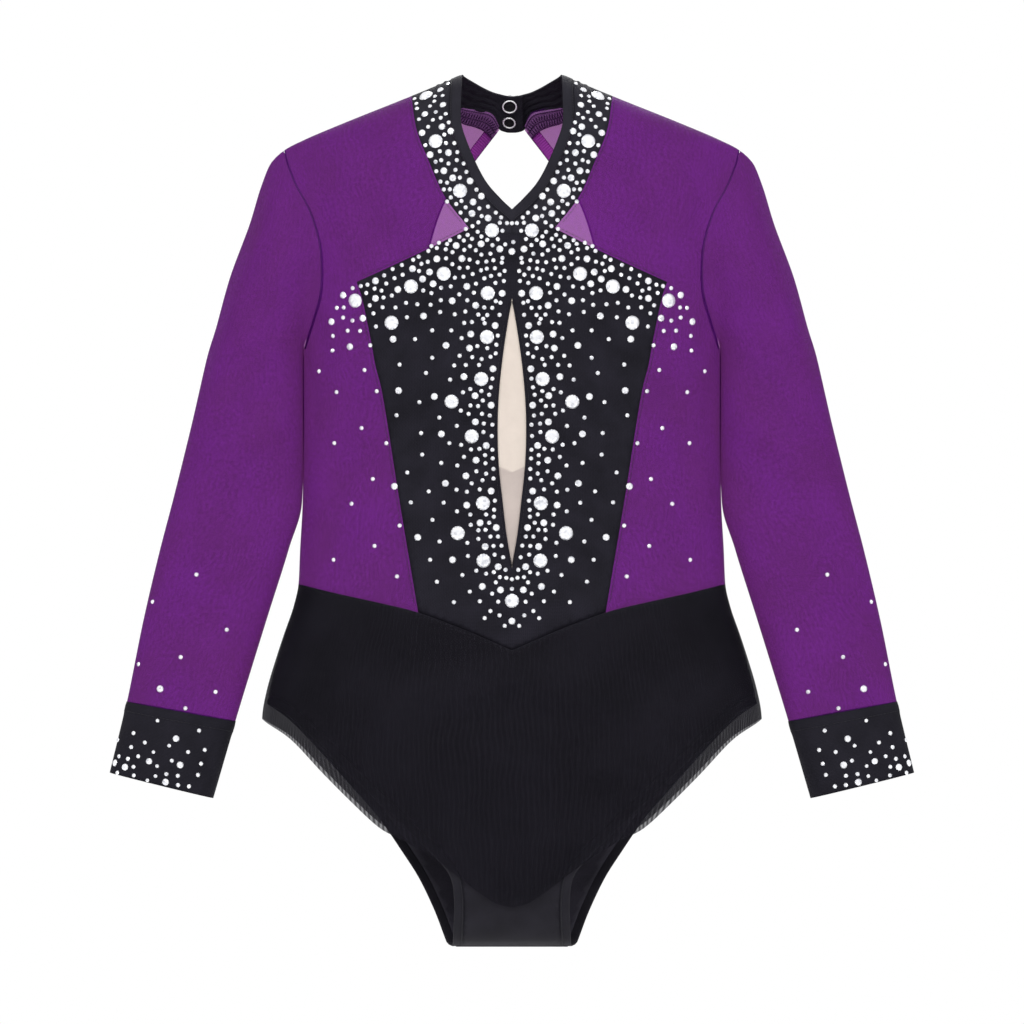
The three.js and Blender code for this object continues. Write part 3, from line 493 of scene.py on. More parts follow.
def band(A, B, sides, kind="torso", thick=1.5, crown=0.5, base=0.0, e=0.0, m=9, ends=True, wave=None, closed=False):
    """A folded strip with rounded edges between two paths (x, z); sides is -1 or 1 for each sample. A closed body."""
    A, B, sides = np.asarray(A, float), np.asarray(B, float), np.asarray(sides, float)
    n = len(A)
    s = (1 - np.cos(np.linspace(0, np.pi, m))) / 2
    X = A[:, None, 0] * (1 - s) + B[:, None, 0] * s
    Z = A[:, None, 1] * (1 - s) + B[:, None, 1] * s
    Y = np.zeros_like(X)
    for sd in (-1, 1):
        k = sides == sd
        if k.any():
            Y[k] = sd * depth(X[k], Z[k], sd, kind, e)
    P = np.stack([X, Y, Z], 2)
    N = grid_normals(P)
    out = np.sign((N[..., 1] * sides[:, None] + 1e-9 * 1).sum())
    N = N * (out if out else 1)
    prof = np.sqrt(np.maximum(0, 1 - np.abs(2 * s - 1) ** 4))
    up = base + crown * prof + thick / 2 * prof
    dn = base - thick / 2 * prof
    U = P + N * (up[None, :, None] + (wave(n, m)[..., None] if wave else 0))
    D = P + N * (dn[None, :, None] + (wave(n, m)[..., None] if wave else 0))
    ring = np.concatenate([U, D[:, -2:0:-1]], 1)
    R = ring.shape[1]
    v = ring.reshape(-1, 3)
    f = grid_faces(n, R, True)
    if closed:
        f += [[(n - 1) * R + j, (n - 1) * R + (j + 1) % R, (j + 1) % R, j] for j in range(R)]
    else:
        f += [list(range(R))[::-1], [(n - 1) * R + j for j in range(R)]]
    # orientation
    nn = vertex_normals(v, f)
    centre = P[:, m // 2].repeat(R, 0)
    if ((v - centre) * nn).sum() < 0:
        f = [q[::-1] for q in f]
    along = np.concatenate([[0], np.cumsum(np.linalg.norm(np.diff(P[:, m // 2], axis=0), axis=1))])
    across = np.concatenate([s, s[-2:0:-1]]) * np.linalg.norm(P[n // 2, -1] - P[n // 2, 0])
    uv = np.stack([np.repeat(across[None], n, 0).ravel(), np.repeat(along[:, None], R, 1).ravel()], 1)
    return v, f, uv


def both_ways(path):
    """A half path from the side to the centre line, carried on to the other side."""
    p = np.asarray(path, float)
    q = p[::-1].copy()
    q[:, 0] *= -1
    return np.vstack([p, q[1:]])


def mirror_mesh(mesh):
    v, f, uv = mesh
    v = v.copy()
    v[:, 0] *= -1
    uv = uv.copy()
    uv[:, 0] *= -1
    return v, [q[::-1] for q in f], uv


# ------------------------------------------------------------------ materials
def node(tree, kind, at=(0, 0), **props):
    n = tree.nodes.new(kind)
    n.location = at
    for k, v in props.items():
        setattr(n, k, v)
    return n


def fresh(name):
    m = bpy.data.materials.new(name)
    m.use_nodes = True
    t = m.node_tree
    t.nodes.clear()
    return m, t, node(t, "ShaderNodeOutputMaterial", (900, 0))


def weave_coords(t):
    return node(t, "ShaderNodeUVMap", (-1300, 0), uv_map="weave").outputs[0]


def math_node(t, op, a, b=None, c=None, clamp=False):
    n = node(t, "ShaderNodeMath", operation=op, use_clamp=clamp)
    for i, q in enumerate((a, b, c)):
        if q is None:
            continue
        if isinstance(q, (int, float)):
            n.inputs[i].default_value = q
        else:
            t.links.new(q, n.inputs[i])
    return n.outputs[0]


def noise(t, vec, scale, detail=2.0, rough=0.5):
    n = node(t, "ShaderNodeTexNoise")
    n.inputs["Scale"].default_value = scale
    n.inputs["Detail"].default_value = detail
    n.inputs["Roughness"].default_value = rough
    t.links.new(vec, n.inputs["Vector"])
    return n.outputs["Fac"]


def ramp(t, fac, stops):
    n = node(t, "ShaderNodeValToRGB")
    while len(n.color_ramp.elements) < len(stops):
        n.color_ramp.elements.new(0.5)
    for el, (p, c) in zip(n.color_ramp.elements, stops):
        el.position = p
        el.color = (*c, 1)
    t.links.new(fac, n.inputs[0])
    return n.outputs[0]


def knit_height(t, vec, course, wale):
    """Fine knit loops: V-shaped stitches in columns `wale` mm apart, courses `course` mm apart."""
    sep = node(t, "ShaderNodeSeparateXYZ")
    t.links.new(vec, sep.inputs[0])
    col = math_node(t, "MULTIPLY", sep.outputs[0], 2 * math.pi / wale)
    tri = math_node(t, "ABSOLUTE", math_node(t, "SINE", math_node(t, "MULTIPLY", col, 0.5)))
    row = math_node(t, "ADD", math_node(t, "MULTIPLY", sep.outputs[1], 2 * math.pi / course), math_node(t, "MULTIPLY", tri, 2.4))
    return math_node(t, "MULTIPLY", math_node(t, "ADD", math_node(t, "SINE", row), 1.0), math_node(t, "POWER", tri, 0.6))


def knit(name, color, rough=0.72, spec=0.07, course=0.9, wale=1.0, bump=0.35, sheen=0.02, vary=0.45):
    m, t, out = fresh(name)
    vec = weave_coords(t)
    p = node(t, "ShaderNodeBsdfPrincipled", (600, 0))
    h = knit_height(t, vec, course, wale)
    cloud = noise(t, vec, 0.05, 3)
    grain = noise(t, vec, 1.1, 2)
    k = math_node(t, "ADD", math_node(t, "MULTIPLY", cloud, 0.5), math_node(t, "ADD", math_node(t, "MULTIPLY", grain, 0.35), math_node(t, "MULTIPLY", h, 0.13)))
    c = np.array(color)
    col = ramp(t, k, [(0.25, tuple(c * (1 - vary))), (0.75, tuple(c * (1 + vary)))])
    t.links.new(col, p.inputs["Base Color"])
    r = math_node(t, "ADD", math_node(t, "MULTIPLY", grain, 0.16), rough - 0.08)
    t.links.new(r, p.inputs["Roughness"])
    p.inputs["Specular IOR Level"].default_value = spec
    p.inputs["Sheen Weight"].default_value = sheen
    p.inputs["Sheen Roughness"].default_value = 0.5
    p.inputs["Sheen Tint"].default_value = (0.6, 0.6, 0.68, 1)
    b = node(t, "ShaderNodeBump", (300, -300))
    b.inputs["Strength"].default_value = bump
    b.inputs["Distance"].default_value = 0.0003
    t.links.new(math_node(t, "ADD", h, math_node(t, "MULTIPLY", grain, 0.8)), b.inputs["Height"])
    t.links.new(b.outputs[0], p.inputs["Normal"])
    t.links.new(p.outputs[0], out.inputs[0])
    return m


def net(name, thread, tint, cover, pitch=0.85, rough=0.6, spec=0.15, moire=0.12, bump=0.2, depth_var=0.16, period=10.0, swirl=26.0, open_var=0.0, grain_var=0.5, contrast=0.30):
    """Sheer power mesh: threads over small holes."""
    m, t, out = fresh(name)
    vec = weave_coords(t)
    sep = node(t, "ShaderNodeSeparateXYZ")
    t.links.new(vec, sep.inputs[0])
    a = math_node(t, "MULTIPLY", math_node(t, "ADD", sep.outputs[0], sep.outputs[1]), 2 * math.pi / pitch)
    b = math_node(t, "MULTIPLY", math_node(t, "SUBTRACT", sep.outputs[0], sep.outputs[1]), 2 * math.pi / pitch)
    holes = math_node(t, "MULTIPLY", math_node(t, "SINE", a), math_node(t, "SINE", b))
    wob = noise(t, vec, 0.035, 2)
    stripe = math_node(t, "SINE", math_node(t, "ADD", math_node(t, "MULTIPLY", sep.outputs[0], 2 * math.pi / period), math_node(t, "MULTIPLY", wob, swirl)))
    grain = noise(t, vec, 0.42, 3)
    cloud = noise(t, vec, 0.022, 3)
    fac = math_node(t, "ADD", math_node(t, "MULTIPLY", holes, -depth_var), cover)
    fac = math_node(t, "ADD", fac, math_node(t, "MULTIPLY", stripe, -open_var))
    fac = math_node(t, "ADD", fac, math_node(t, "MULTIPLY", math_node(t, "SUBTRACT", cloud, 0.5), 0.10), clamp=True)
    p = node(t, "ShaderNodeBsdfPrincipled", (300, 0))
    c = np.array(thread)
    # painted shade and light: the broad cloud noise, weighted 1.5, darkens and lightens the thread colour in soft
    # patches like the shading of the sleeves and panels
    k = math_node(t, "ADD", math_node(t, "MULTIPLY", math_node(t, "SUBTRACT", cloud, 0.5), 1.5), math_node(t, "ADD", math_node(t, "MULTIPLY", stripe, moire), 0.35))
    k = math_node(t, "ADD", k, math_node(t, "MULTIPLY", math_node(t, "SUBTRACT", grain, 0.5), grain_var))
    col = ramp(t, k, [(0.0, tuple(c * (1 - contrast))), (0.70, tuple(c * (1 + contrast)))])
    t.links.new(col, p.inputs["Base Color"])
    p.inputs["Roughness"].default_value = rough
    p.inputs["Specular IOR Level"].default_value = spec
    bp = node(t, "ShaderNodeBump")
    bp.inputs["Strength"].default_value = bump
    bp.inputs["Distance"].default_value = 0.0002
    t.links.new(holes, bp.inputs["Height"])
    t.links.new(bp.outputs[0], p.inputs["Normal"])
    tr = node(t, "ShaderNodeBsdfTransparent", (300, 200))
    tr.inputs[0].default_value = (*tint, 1)
    mix = node(t, "ShaderNodeMixShader", (700, 0))
    t.links.new(fac, mix.inputs[0])
    t.links.new(tr.outputs[0], mix.inputs[1])
    t.links.new(p.outputs[0], mix.inputs[2])
    t.links.new(mix.outputs[0], out.inputs[0])
    return m


def thread_material(name, color, rough=0.5, spec=0.3):
    m, t, out = fresh(name)
    p = node(t, "ShaderNodeBsdfPrincipled", (600, 0))
    tc = node(t, "ShaderNodeTexCoord")
    w = node(t, "ShaderNodeTexWave")
    w.inputs["Scale"].default_value = 900
    w.inputs["Distortion"].default_value = 1.5
    t.links.new(tc.outputs["Object"], w.inputs["Vector"])
    c = np.array(color)
    t.links.new(ramp(t, w.outputs["Fac"], [(0.2, tuple(c * 0.75)), (0.8, tuple(c * 1.25))]), p.inputs["Base Color"])
    p.inputs["Roughness"].default_value = rough
    p.inputs["Specular IOR Level"].default_value = spec
    t.links.new(p.outputs[0], out.inputs[0])
    return m


def metal_material(name, color, rough, metallic=1.0):
    m, t, out = fresh(name)
    p = node(t, "ShaderNodeBsdfPrincipled", (600, 0))
    tc = node(t, "ShaderNodeTexCoord")
    g = noise(t, tc.outputs["Object"], 700, 3)
    c = np.array(color)
    t.links.new(ramp(t, g, [(0.3, tuple(c * 0.9)), (0.7, tuple(np.minimum(1, c * 1.06)))]), p.inputs["Base Color"])
    t.links.new(math_node(t, "ADD", math_node(t, "MULTIPLY", g, 0.12), rough), p.inputs["Roughness"])
    p.inputs["Metallic"].default_value = metallic
    t.links.new(p.outputs[0], out.inputs[0])
    return m


def stone_material(name):
    """Foil-backed clear crystal; grey-to-white patches in the base colour are painted reflection, standing in for cut
    faces that mirror darker and brighter surroundings.
    """
    m, t, out = fresh(name)
    p = node(t, "ShaderNodeBsdfPrincipled", (600, 0))
    tc = node(t, "ShaderNodeTexCoord")
    v = node(t, "ShaderNodeTexVoronoi")
    v.inputs["Scale"].default_value = 620
    t.links.new(tc.outputs["Object"], v.inputs["Vector"])
    sep = node(t, "ShaderNodeSeparateColor")
    t.links.new(v.outputs["Color"], sep.inputs[0])
    # painted reflection: the voronoi ramp from grey to white gives the stones dark and bright facet patches
    t.links.new(ramp(t, sep.outputs[0], [(0.0, (0.60, 0.61, 0.66)), (0.22, (0.88, 0.89, 0.93)), (1.0, (0.98, 0.98, 1.0))]), p.inputs["Base Color"])
    p.inputs["Roughness"].default_value = 0.09
    p.inputs["Metallic"].default_value = 0.45
    p.inputs["Specular IOR Level"].default_value = 0.8
    p.inputs["Coat Weight"].default_value = 0.6
    p.inputs["Coat Roughness"].default_value = 0.03
    t.links.new(p.outputs[0], out.inputs[0])
    return m


MESH_THREAD, MESH_TINT, MESH_COVER = (0.066, 0.0060, 0.120), (0.69, 0.30, 0.69), 0.62
purple = net("purple_power_mesh", MESH_THREAD, MESH_TINT, MESH_COVER, spec=0.05, moire=0.10, period=3.4, swirl=42.0, grain_var=1.5, contrast=0.27)
nude = net("nude_mesh", (0.53, 0.455, 0.42), (1.0, 0.93, 0.76), 0.78, spec=0.04, moire=0.05, depth_var=0.10, grain_var=0.3, contrast=0.07)
overlay = net("black_overlay_mesh", (0.0072, 0.0066, 0.0098), (0.80, 0.80, 0.82), 0.80, spec=0.04, moire=0.3, depth_var=0.12, period=2.7, swirl=16.0, open_var=0.13)
strip_cloth = knit("purple_strip_knit", (0.20, 0.082, 0.235), rough=0.6, spec=0.05, course=1.5, wale=1.5, bump=0.3, sheen=0.0, vary=0.4)
hem_cloth = knit("purple_hem_knit", (0.30, 0.045, 0.33), rough=0.6, spec=0.05, course=1.6, wale=2.2, bump=0.5, sheen=0.0, vary=0.35)
black = knit("black_bodice_knit", (0.0092, 0.0084, 0.0128), vary=0.7)
collar_black = knit("black_collar_knit", (0.0150, 0.0141, 0.0196), course=0.9, wale=1.0)
cuff_black = knit("black_cuff_knit", (0.0096, 0.0089, 0.0132))
brief_black = knit("black_brief_knit", (0.0108, 0.0100, 0.0142), rough=0.62, spec=0.09, course=0.6, wale=0.7, bump=0.2, vary=0.6)
# the brief back is the same black fabric as the front brief, given a lighter colour: painted light that offsets the
# shade inside the garment
brief_back_black_painted_light = knit("black_brief_back_painted_light_knit", (0.0225, 0.0210, 0.0288), rough=0.62, spec=0.09, course=0.6, wale=0.7, bump=0.2, vary=0.6)
binding_black = knit("black_binding_knit", (0.0118, 0.0111, 0.0152), rough=0.6, spec=0.08, course=0.6, wale=0.7)
black_thread = thread_material("black_thread", (0.014, 0.0135, 0.018))
purple_thread = thread_material("purple_thread", (0.14, 0.022, 0.19), spec=0.1)
seam_thread = thread_material("dark_purple_seam", (0.050, 0.009, 0.075), spec=0.1)
plum_thread = thread_material("plum_thread", (0.030, 0.008, 0.045), spec=0.1)
steel = metal_material("bright_steel", (0.93, 0.93, 0.94), 0.3, metallic=0.35)
# near-black colour for the snap well: painted shade in the hollow of the metal ring, in place of lit steel
snap_well_painted_shade = thread_material("snap_well_painted_shade_dark", (0.010, 0.0098, 0.0115), rough=0.4, spec=0.1)
crystal = stone_material("cut_crystal")


# ------------------------------------------------------------------ cloth pieces
PIECES = {}


def finish_piece(name, mesh, material, node_names, body, thickness=0.0, sheet=True, blend_to=None, weights=None):
    v, f, uv = mesh
    if thickness:
        v, f, uv = thicken(v, f, uv, thickness)
    o = new_object(name, v, f, material, uv=uv)
    if node_names:
        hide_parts(*node_names)
    if blend_to:
        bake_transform(o)
        w = weights(v)
    else:
        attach(o, body)
    if sheet:
        PIECES[name] = o
    return o


smooth01 = lambda q: np.clip(q, 0, 1) ** 2 * (3 - 2 * np.clip(q, 0, 1))
_arm_line = spline(ARMHOLE, 60)


def sleeve_weight(v):
    """Weight 0 at the armhole seam rising to 1 away from it: over about 34 mm at the top of the sleeve and over a
    longer stretch under the arm.
    """
    x, z = np.abs(v[:, 0]), v[:, 2]
    t, c = sleeve_coords(x, z)
    return smooth01(near(_arm_line, x, z) / (34.0 + 82.0 * smooth01((0.8 - c) / 1.8)))


_foot = np.array([[53.2, 14.1], [43.5, 8.1], [33.1, 2.6], [22, 0.4], [13, -2.2], [8.4, -10.2]])


def flap_weight(v):
    """Weight 1 next to the back collar foot, falling to 0 farther from it and towards the sides."""
    x, z = np.abs(v[:, 0]), v[:, 2]
    below = near(_foot, x, z)
    return (1 - smooth01(below / 62.0)) * smooth01((58 - x) / 22.0)


side_line = lambda z0, z1, n=40: np.stack([half_width(np.linspace(z0, z1, n)) * 0.99999, np.linspace(z0, z1, n)], 1)
ridge_line = lambda x0, x1, n=40: np.stack([np.linspace(x0, x1, n), ridge(np.linspace(x0, x1, n)) - 1e-3], 1)

# front mesh panels
binding_edge, collar_edge, yoke_top, yoke_side = spline(BINDING_EDGE, 60), spline(COLLAR_EDGE, 50), spline(YOKE_TOP, 40), spline(YOKE_SIDE, 90)
collar_join, waist_front, waist_back, keyhole = spline(COLLAR_JOIN, 16), spline(WAIST_FRONT, 60), spline(WAIST_BACK, 60), spline(KEYHOLE, 80)
collar_edge[0] = [65.3, ridge(65.3) - 1e-3]
binding_edge[0] = [39.6, ridge(39.6) - 1e-3]
cut = [p for p in waist_front if p[0] >= 60.6]
waist_side, waist_mid = np.vstack([cut, [[60.6, -326.3]]]), np.vstack([[[60.6, -326.3]], [p for p in waist_front if p[0] < 60.6]])
cutb = [p for p in waist_back if p[0] >= 60.4]
waistb_side, waistb_mid = np.vstack([cutb, [[60.4, -327.4]]]), np.vstack([[[60.4, -327.4]], [p for p in waist_back if p[0] < 60.4]])
DENTS = [(_arm_line, 0.7, 2.5), (yoke_side, 0.5, 2.2), (yoke_top, 0.5, 2.2), (collar_edge, 0.5, 2.2), (waist_front, 0.6, 2.4)]
front_mesh = panel(
    [ridge_line(65.3, 147.6), _arm_line, side_line(-157.3, -308.1), waist_side, yoke_side[::-1], yoke_top[::-1], collar_edge[::-1]],
    Upper, -1, h=3.2, dents=DENTS)
for s, nm in ((1, "right"), (-1, "left")):
    finish_piece("cloth_front_mesh_" + nm, front_mesh if s > 0 else mirror_mesh(front_mesh), purple, ["front_mesh_" + nm], "torso")

# front bodice: two halves welded below the keyhole
centre = lambda z0, z1: np.array([[0, z0], [0, z1]], float)
half = panel([collar_join[::-1], yoke_top, yoke_side, waist_mid, centre(-350.7, -298), keyhole[::-1], centre(-123, -81.9)], Upper, -1, h=2.6,
             dents=[(yoke_side, 0.4, 2.2), (yoke_top, 0.4, 2.2), (collar_join, 0.2, 2.0), (waist_front, 0.6, 2.4), (np.array([[0, -97], [0, -123]]), 1.0, 1.2)])
bodice = merged(half, mirror_mesh(half))
finish_piece("cloth_bodice", bodice, black, ["front_bodice"], "torso", thickness=0.9)

# front collar
half = panel([ridge_line(39.6, 65.3, 12), collar_edge, collar_join, centre(-81.9, -74.1), binding_edge[::-1]], Upper, -1, h=2.4,
             dents=[(collar_edge, 0.4, 2.0), (collar_join, 0.2, 2.0), (binding_edge, 0.5, 1.8)])
for s, nm in ((1, "right"), (-1, "left")):
    finish_piece("cloth_collar_front_" + nm, half if s > 0 else mirror_mesh(half), collar_black, ["collar_front_" + nm], "torso", thickness=1.0)

# nude insert behind the keyhole
key_wide = keyhole.copy()
key_wide[:, 0] += 3.2 * np.sin(np.linspace(0, np.pi, len(key_wide))) ** 0.6 + 0.02
key_wide[0] = [0, -119.5]
key_wide[-1] = [0, -302.0]
half = panel([key_wide, centre(-302.0, -119.5)], Upper, -1, h=2.2, e=0.0)
for_insert = merged(half, mirror_mesh(half))
vi = for_insert[0].copy()
vi[:, 1] += 1.35
finish_piece("cloth_keyhole_insert", (vi, for_insert[1], for_insert[2]), nude, ["keyhole_insert"], "torso")

# back mesh panels
back_key = spline(BACK_KEYHOLE, 140)
k_at = int(np.argmin(np.abs(back_key[:, 1] + 200.4)))
back_key_upper, back_key_lower = back_key[: k_at + 1].copy(), back_key[k_at:].copy()
back_panel_line = spline(BACK_PANEL, 50)
back_panel_line[0] = back_key_upper[-1]
foot_line = np.array([[53.2, 14.1], [43.5, 9.3], [33.1, 4.4], [22, 2.4], [13, 0.2], [9.6, -5.0], [8.4, -11.8]], float)
foot_line[0, 1] = ridge(53.2) - 1e-3
DENTS_B = [(_arm_line, 0.7, 2.5), (waist_back, 0.6, 2.4), (back_panel_line, 0.4, 2.2)]
back_mesh = panel(
    [ridge_line(53.2, 147.6), _arm_line, side_line(-157.3, -308.1), waistb_side, back_panel_line[::-1], back_key_upper[::-1], foot_line[::-1]],
    Upper, 1, h=3.2, dents=DENTS_B)
for s, nm, flap in ((1, "right", "collar_outer"), (-1, "left", "collar_inner")):
    finish_piece("cloth_back_mesh_" + nm, back_mesh if s > 0 else mirror_mesh(back_mesh), purple, ["back_mesh_" + nm], None, blend_to=flap, weights=flap_weight)

half = panel([back_panel_line, waistb_mid, centre(-335.6, -235.3), back_key_lower[::-1]], Upper, 1, h=3.0, dents=[(back_panel_line, 0.4, 2.2), (waist_back, 0.6, 2.4)])
finish_piece("cloth_back_panel", merged(half, mirror_mesh(half)), black, ["back_panel"], "torso", thickness=0.9)

# briefs
leg_front, leg_back = spline(LEG_FRONT, 110), spline(LEG_BACK, 110)
inner_front, inner_back = shifted(leg_front, -(BINDING_WIDTH - 0.8)), shifted(leg_back, -(BINDING_WIDTH - 0.8))
for name, leg, waist, side, nd in (("cloth_brief_front", inner_front, waist_front, -1, "brief_front"), ("cloth_brief_back", inner_back, waist_back, 1, "brief_back")):
    leg = leg[(leg[:, 0] < half_width(leg[:, 1]) - 0.1)]
    zt = leg[0, 1]
    zb = -543.9
    leg = leg[leg[:, 1] > zb]
    outline = [waist[::-1], side_line(-308.1, zt + 1.5), np.vstack([[half_width(zt + 1.5), zt + 1.5], leg, [leg[-1, 0], zb]]), np.array([[leg[-1, 0], zb], [0, zb]]), np.array([[0, zb], [0, waist[-1, 1]]])]
    half = panel(outline, Lower, side, h=3.2, e=-0.2)
    # the brief back takes the lighter copy of the black fabric: painted light against the shade inside the garment
    finish_piece(name, merged(half, mirror_mesh(half)), brief_black if side < 0 else brief_back_black_painted_light, [nd], "torso", thickness=0.9)

# leg bindings: one folded loop each, front then back
n_leg = 150
loop_a = np.vstack([resample(leg_front, n_leg), resample(leg_back, n_leg)[::-1][1:-1]])
loop_b = np.vstack([resample(shifted(leg_front, -BINDING_WIDTH), n_leg), resample(shifted(leg_back, -BINDING_WIDTH), n_leg)[::-1][1:-1]])
loop_b[:, 1] = np.maximum(loop_b[:, 1], -543.9)
loop_side = np.concatenate([-np.ones(n_leg), np.ones(n_leg - 2)])
for arr in (loop_a, loop_b):
    arr[:, 0] = np.minimum(arr[:, 0], half_width(np.clip(arr[:, 1], -543.9, 0)) - 0.02)


def binding_loop():
    """Leg binding, rounded, following the body surface round the side and the crotch."""
    m = 9
    s = (1 - np.cos(np.linspace(0, np.pi, m))) / 2
    X = loop_a[:, None, 0] * (1 - s) + loop_b[:, None, 0] * s
    Z = loop_a[:, None, 1] * (1 - s) + loop_b[:, None, 1] * s
    Y = np.where(loop_side[:, None] < 0, -depth(X, Z, -1, e=-0.1), depth(X, Z, 1, e=-0.1))
    P = np.stack([X, Y, Z], 2)
    P = (np.roll(P, 1, 0) + 2 * P + np.roll(P, -1, 0)) / 4
    du = np.roll(P, -1, 0) - np.roll(P, 1, 0)
    dv = np.gradient(P, axis=1)
    N = np.cross(du, dv)
    N /= np.maximum(np.linalg.norm(N, axis=2), 1e-9)[..., None]
    if (N[: n_leg // 2, :, 1]).mean() > 0:
        N = -N
    prof = np.sqrt(np.maximum(0, 1 - np.abs(2 * s - 1) ** 4))
    ring = np.concatenate([P + N * (0.75 * prof)[None, :, None], (P - N * (0.8 * prof)[None, :, None])[:, -2:0:-1]], 1)
    n, R = ring.shape[:2]
    v = ring.reshape(-1, 3)
    f = grid_faces(n, R, True) + [[(n - 1) * R + j, (n - 1) * R + (j + 1) % R, (j + 1) % R, j] for j in range(R)]
    nn = vertex_normals(v, f)
    if ((v - P[:, m // 2].repeat(R, 0)) * nn).sum() < 0:
        f = [q[::-1] for q in f]
    along = np.concatenate([[0], np.cumsum(np.linalg.norm(np.diff(P[:, m // 2], axis=0), axis=1))])
    across = np.concatenate([s, s[-2:0:-1]]) * BINDING_WIDTH
    return (v, f, np.stack([np.repeat(across[None], n, 0).ravel(), np.repeat(along[:, None], R, 1).ravel()], 1)), P, N


leg_binding, leg_mid, leg_normals = binding_loop()
for s, nm in ((1, "right"), (-1, "left")):
    finish_piece("leg_binding_cloth_" + nm, leg_binding if s > 0 else mirror_mesh(leg_binding), binding_black, ["leg_binding_" + nm], "torso", sheet=False)

# sheer overlays, front and back
hem_line = spline(APRON_HEM, 110)
ripple = lambda x, z: 2.1 + 0.6 * np.sin(x * 0.16 + 0.6 * np.sin(z * 0.05)) * np.exp(-((near(hem_line, np.abs(x), z) / 26) ** 2)) + 0.5 * np.exp(-((near(hem_line, np.abs(x), z) / 10) ** 2))
for name, waist, side, nd in (("cloth_apron_front", waist_front, -1, "apron_front"), ("cloth_apron_back", waist_back, 1, "apron_back")):
    hem = hem_line.copy()
    hem[:, 0] = np.minimum(hem[:, 0], half_width(hem[:, 1]) - 0.02)
    outline = [waist[::-1] - [0, 0.2], side_line(-308.3, hem[0, 1]), hem, np.array([[0, hem[-1, 1]], [0, waist[-1, 1] - 0.2]])]
    half = panel(outline, Lower, side, h=3.2, lift=ripple)
    v, f, uv = merged(half, mirror_mesh(half))
    # the side flares a little beyond the brief
    flare = 1 + 0.012 * smooth01((-308 - v[:, 2]) / 80) * smooth01((np.abs(v[:, 0]) - 110) / 45)
    v = v.copy()
    v[:, 0] *= flare
    finish_piece(name, (v, f, uv), overlay, [nd], "torso")

# sleeves: front and back halves welded along their silhouettes
outer_line = np.stack([np.interp(np.linspace(1.0, 12, 160), _tt, _o[0]), np.interp(np.linspace(1.0, 12, 160), _tt, _o[1])], 1)
inner_line = np.stack([np.interp(np.linspace(7, 12, 120), _tt, _o[2]), np.interp(np.linspace(7, 12, 120), _tt, _o[3])], 1)
outer_line = outer_line[outer_line[:, 0] > 148.0]
mid12 = sleeve_row(12.0)
cuff_line = np.stack([np.linspace(mid12[0], mid12[2], 30), np.linspace(mid12[1], mid12[3], 30)], 1)
sleeve_parts = []
for side in (-1, 1):
    p = panel([np.vstack([_arm_line[:1], outer_line]), cuff_line, inner_line[::-1], _arm_line[::-1]], Arm, side, kind="sleeve", h=3.2, dents=[(_arm_line, 0.7, 2.5), (cuff_line, 0.5, 2.2)])
    sleeve_parts.append(p)
sleeve = merged(*sleeve_parts, tol=0.05)
for s, nm in ((1, "right"), (-1, "left")):
    finish_piece("cloth_sleeve_" + nm, sleeve if s > 0 else mirror_mesh(sleeve), purple, ["sleeve_" + nm], None, blend_to=nm + "_sleeve", weights=sleeve_weight)


# cuffs: a turned double layer with a rounded end
def cuff_mesh():
    ts = np.concatenate([np.linspace(12.0, 13.0, 18)])
    na = 72
    a = 2 * np.pi * np.arange(na) / na
    c, sgn = -np.cos(a), np.where(a < np.pi, -1.0, 1.0)

    def ring(t, e):
        ox, oz, ix, iz, d = sleeve_row(t)
        L = math.hypot(ox - ix, oz - iz)
        g = 1 + 2 * e / L
        x = (ox + ix) / 2 + c * (ox - ix) / 2 * g
        z = (oz + iz) / 2 + c * (oz - iz) / 2 * g
        y = sgn * (d + e) * lens(np.cos(a)) * 1.0
        return np.stack([x, y, z], 1)

    prof = [(t, 0.25 + 0.35 * math.sin(math.pi * min(1, (t - 12) * 6)) * (t < 12.17)) for t in ts]
    prof = [(12.0, -0.6)] + prof + [(13.02, 0.0), (13.028, -0.55), (13.02, -1.1)] + [(t, -1.2) for t in ts[::-1]] + [(12.0, -0.6)]
    rings = [ring(t, e) for t, e in prof]
    v = np.vstack(rings[:-1])
    k = len(rings) - 1
    f = []
    for i in range(k):
        for j in range(na):
            p, q = i * na + j, i * na + (j + 1) % na
            r, s2 = ((i + 1) % k) * na + j, ((i + 1) % k) * na + (j + 1) % na
            f.append([p, q, s2, r])
    n = vertex_normals(v[: na * 18], f[: na * 17])
    out = v[na * 8: na * 9] - v[na * 8: na * 9].mean(0)
    if (n[na * 8: na * 9] * out).sum() < 0:
        f = [q[::-1] for q in f]
    lens_t = [np.interp(t, _tt, _len) - (i > 20) * 0 for i, (t, e) in enumerate(prof[:-1])]
    uv = np.stack([np.tile(44 * a, k), np.repeat(lens_t, na)], 1)
    return v, f, uv


cuff = cuff_mesh()
for s, nm in ((1, "right"), (-1, "left")):
    finish_piece("cloth_cuff_" + nm, cuff if s > 0 else mirror_mesh(cuff), cuff_black, ["cuff_" + nm], nm + "_sleeve", sheet=True)

# neck binding: folded strip round the neck opening
neck = spline(NECK_V, 70)
bind = spline(BINDING_EDGE, 70)
neck[0] = [32.4, 22.6999]
bind[0] = [39.6, ridge(39.6) - 1e-4]
A, B = both_ways(neck), both_ways(bind)
neck_binding = band(A, B, -np.ones(len(A)), thick=1.5, crown=0.1, base=-0.35, m=9)
finish_piece("neck_binding_cloth", neck_binding, collar_black, ["neck_binding"], "torso", sheet=False)


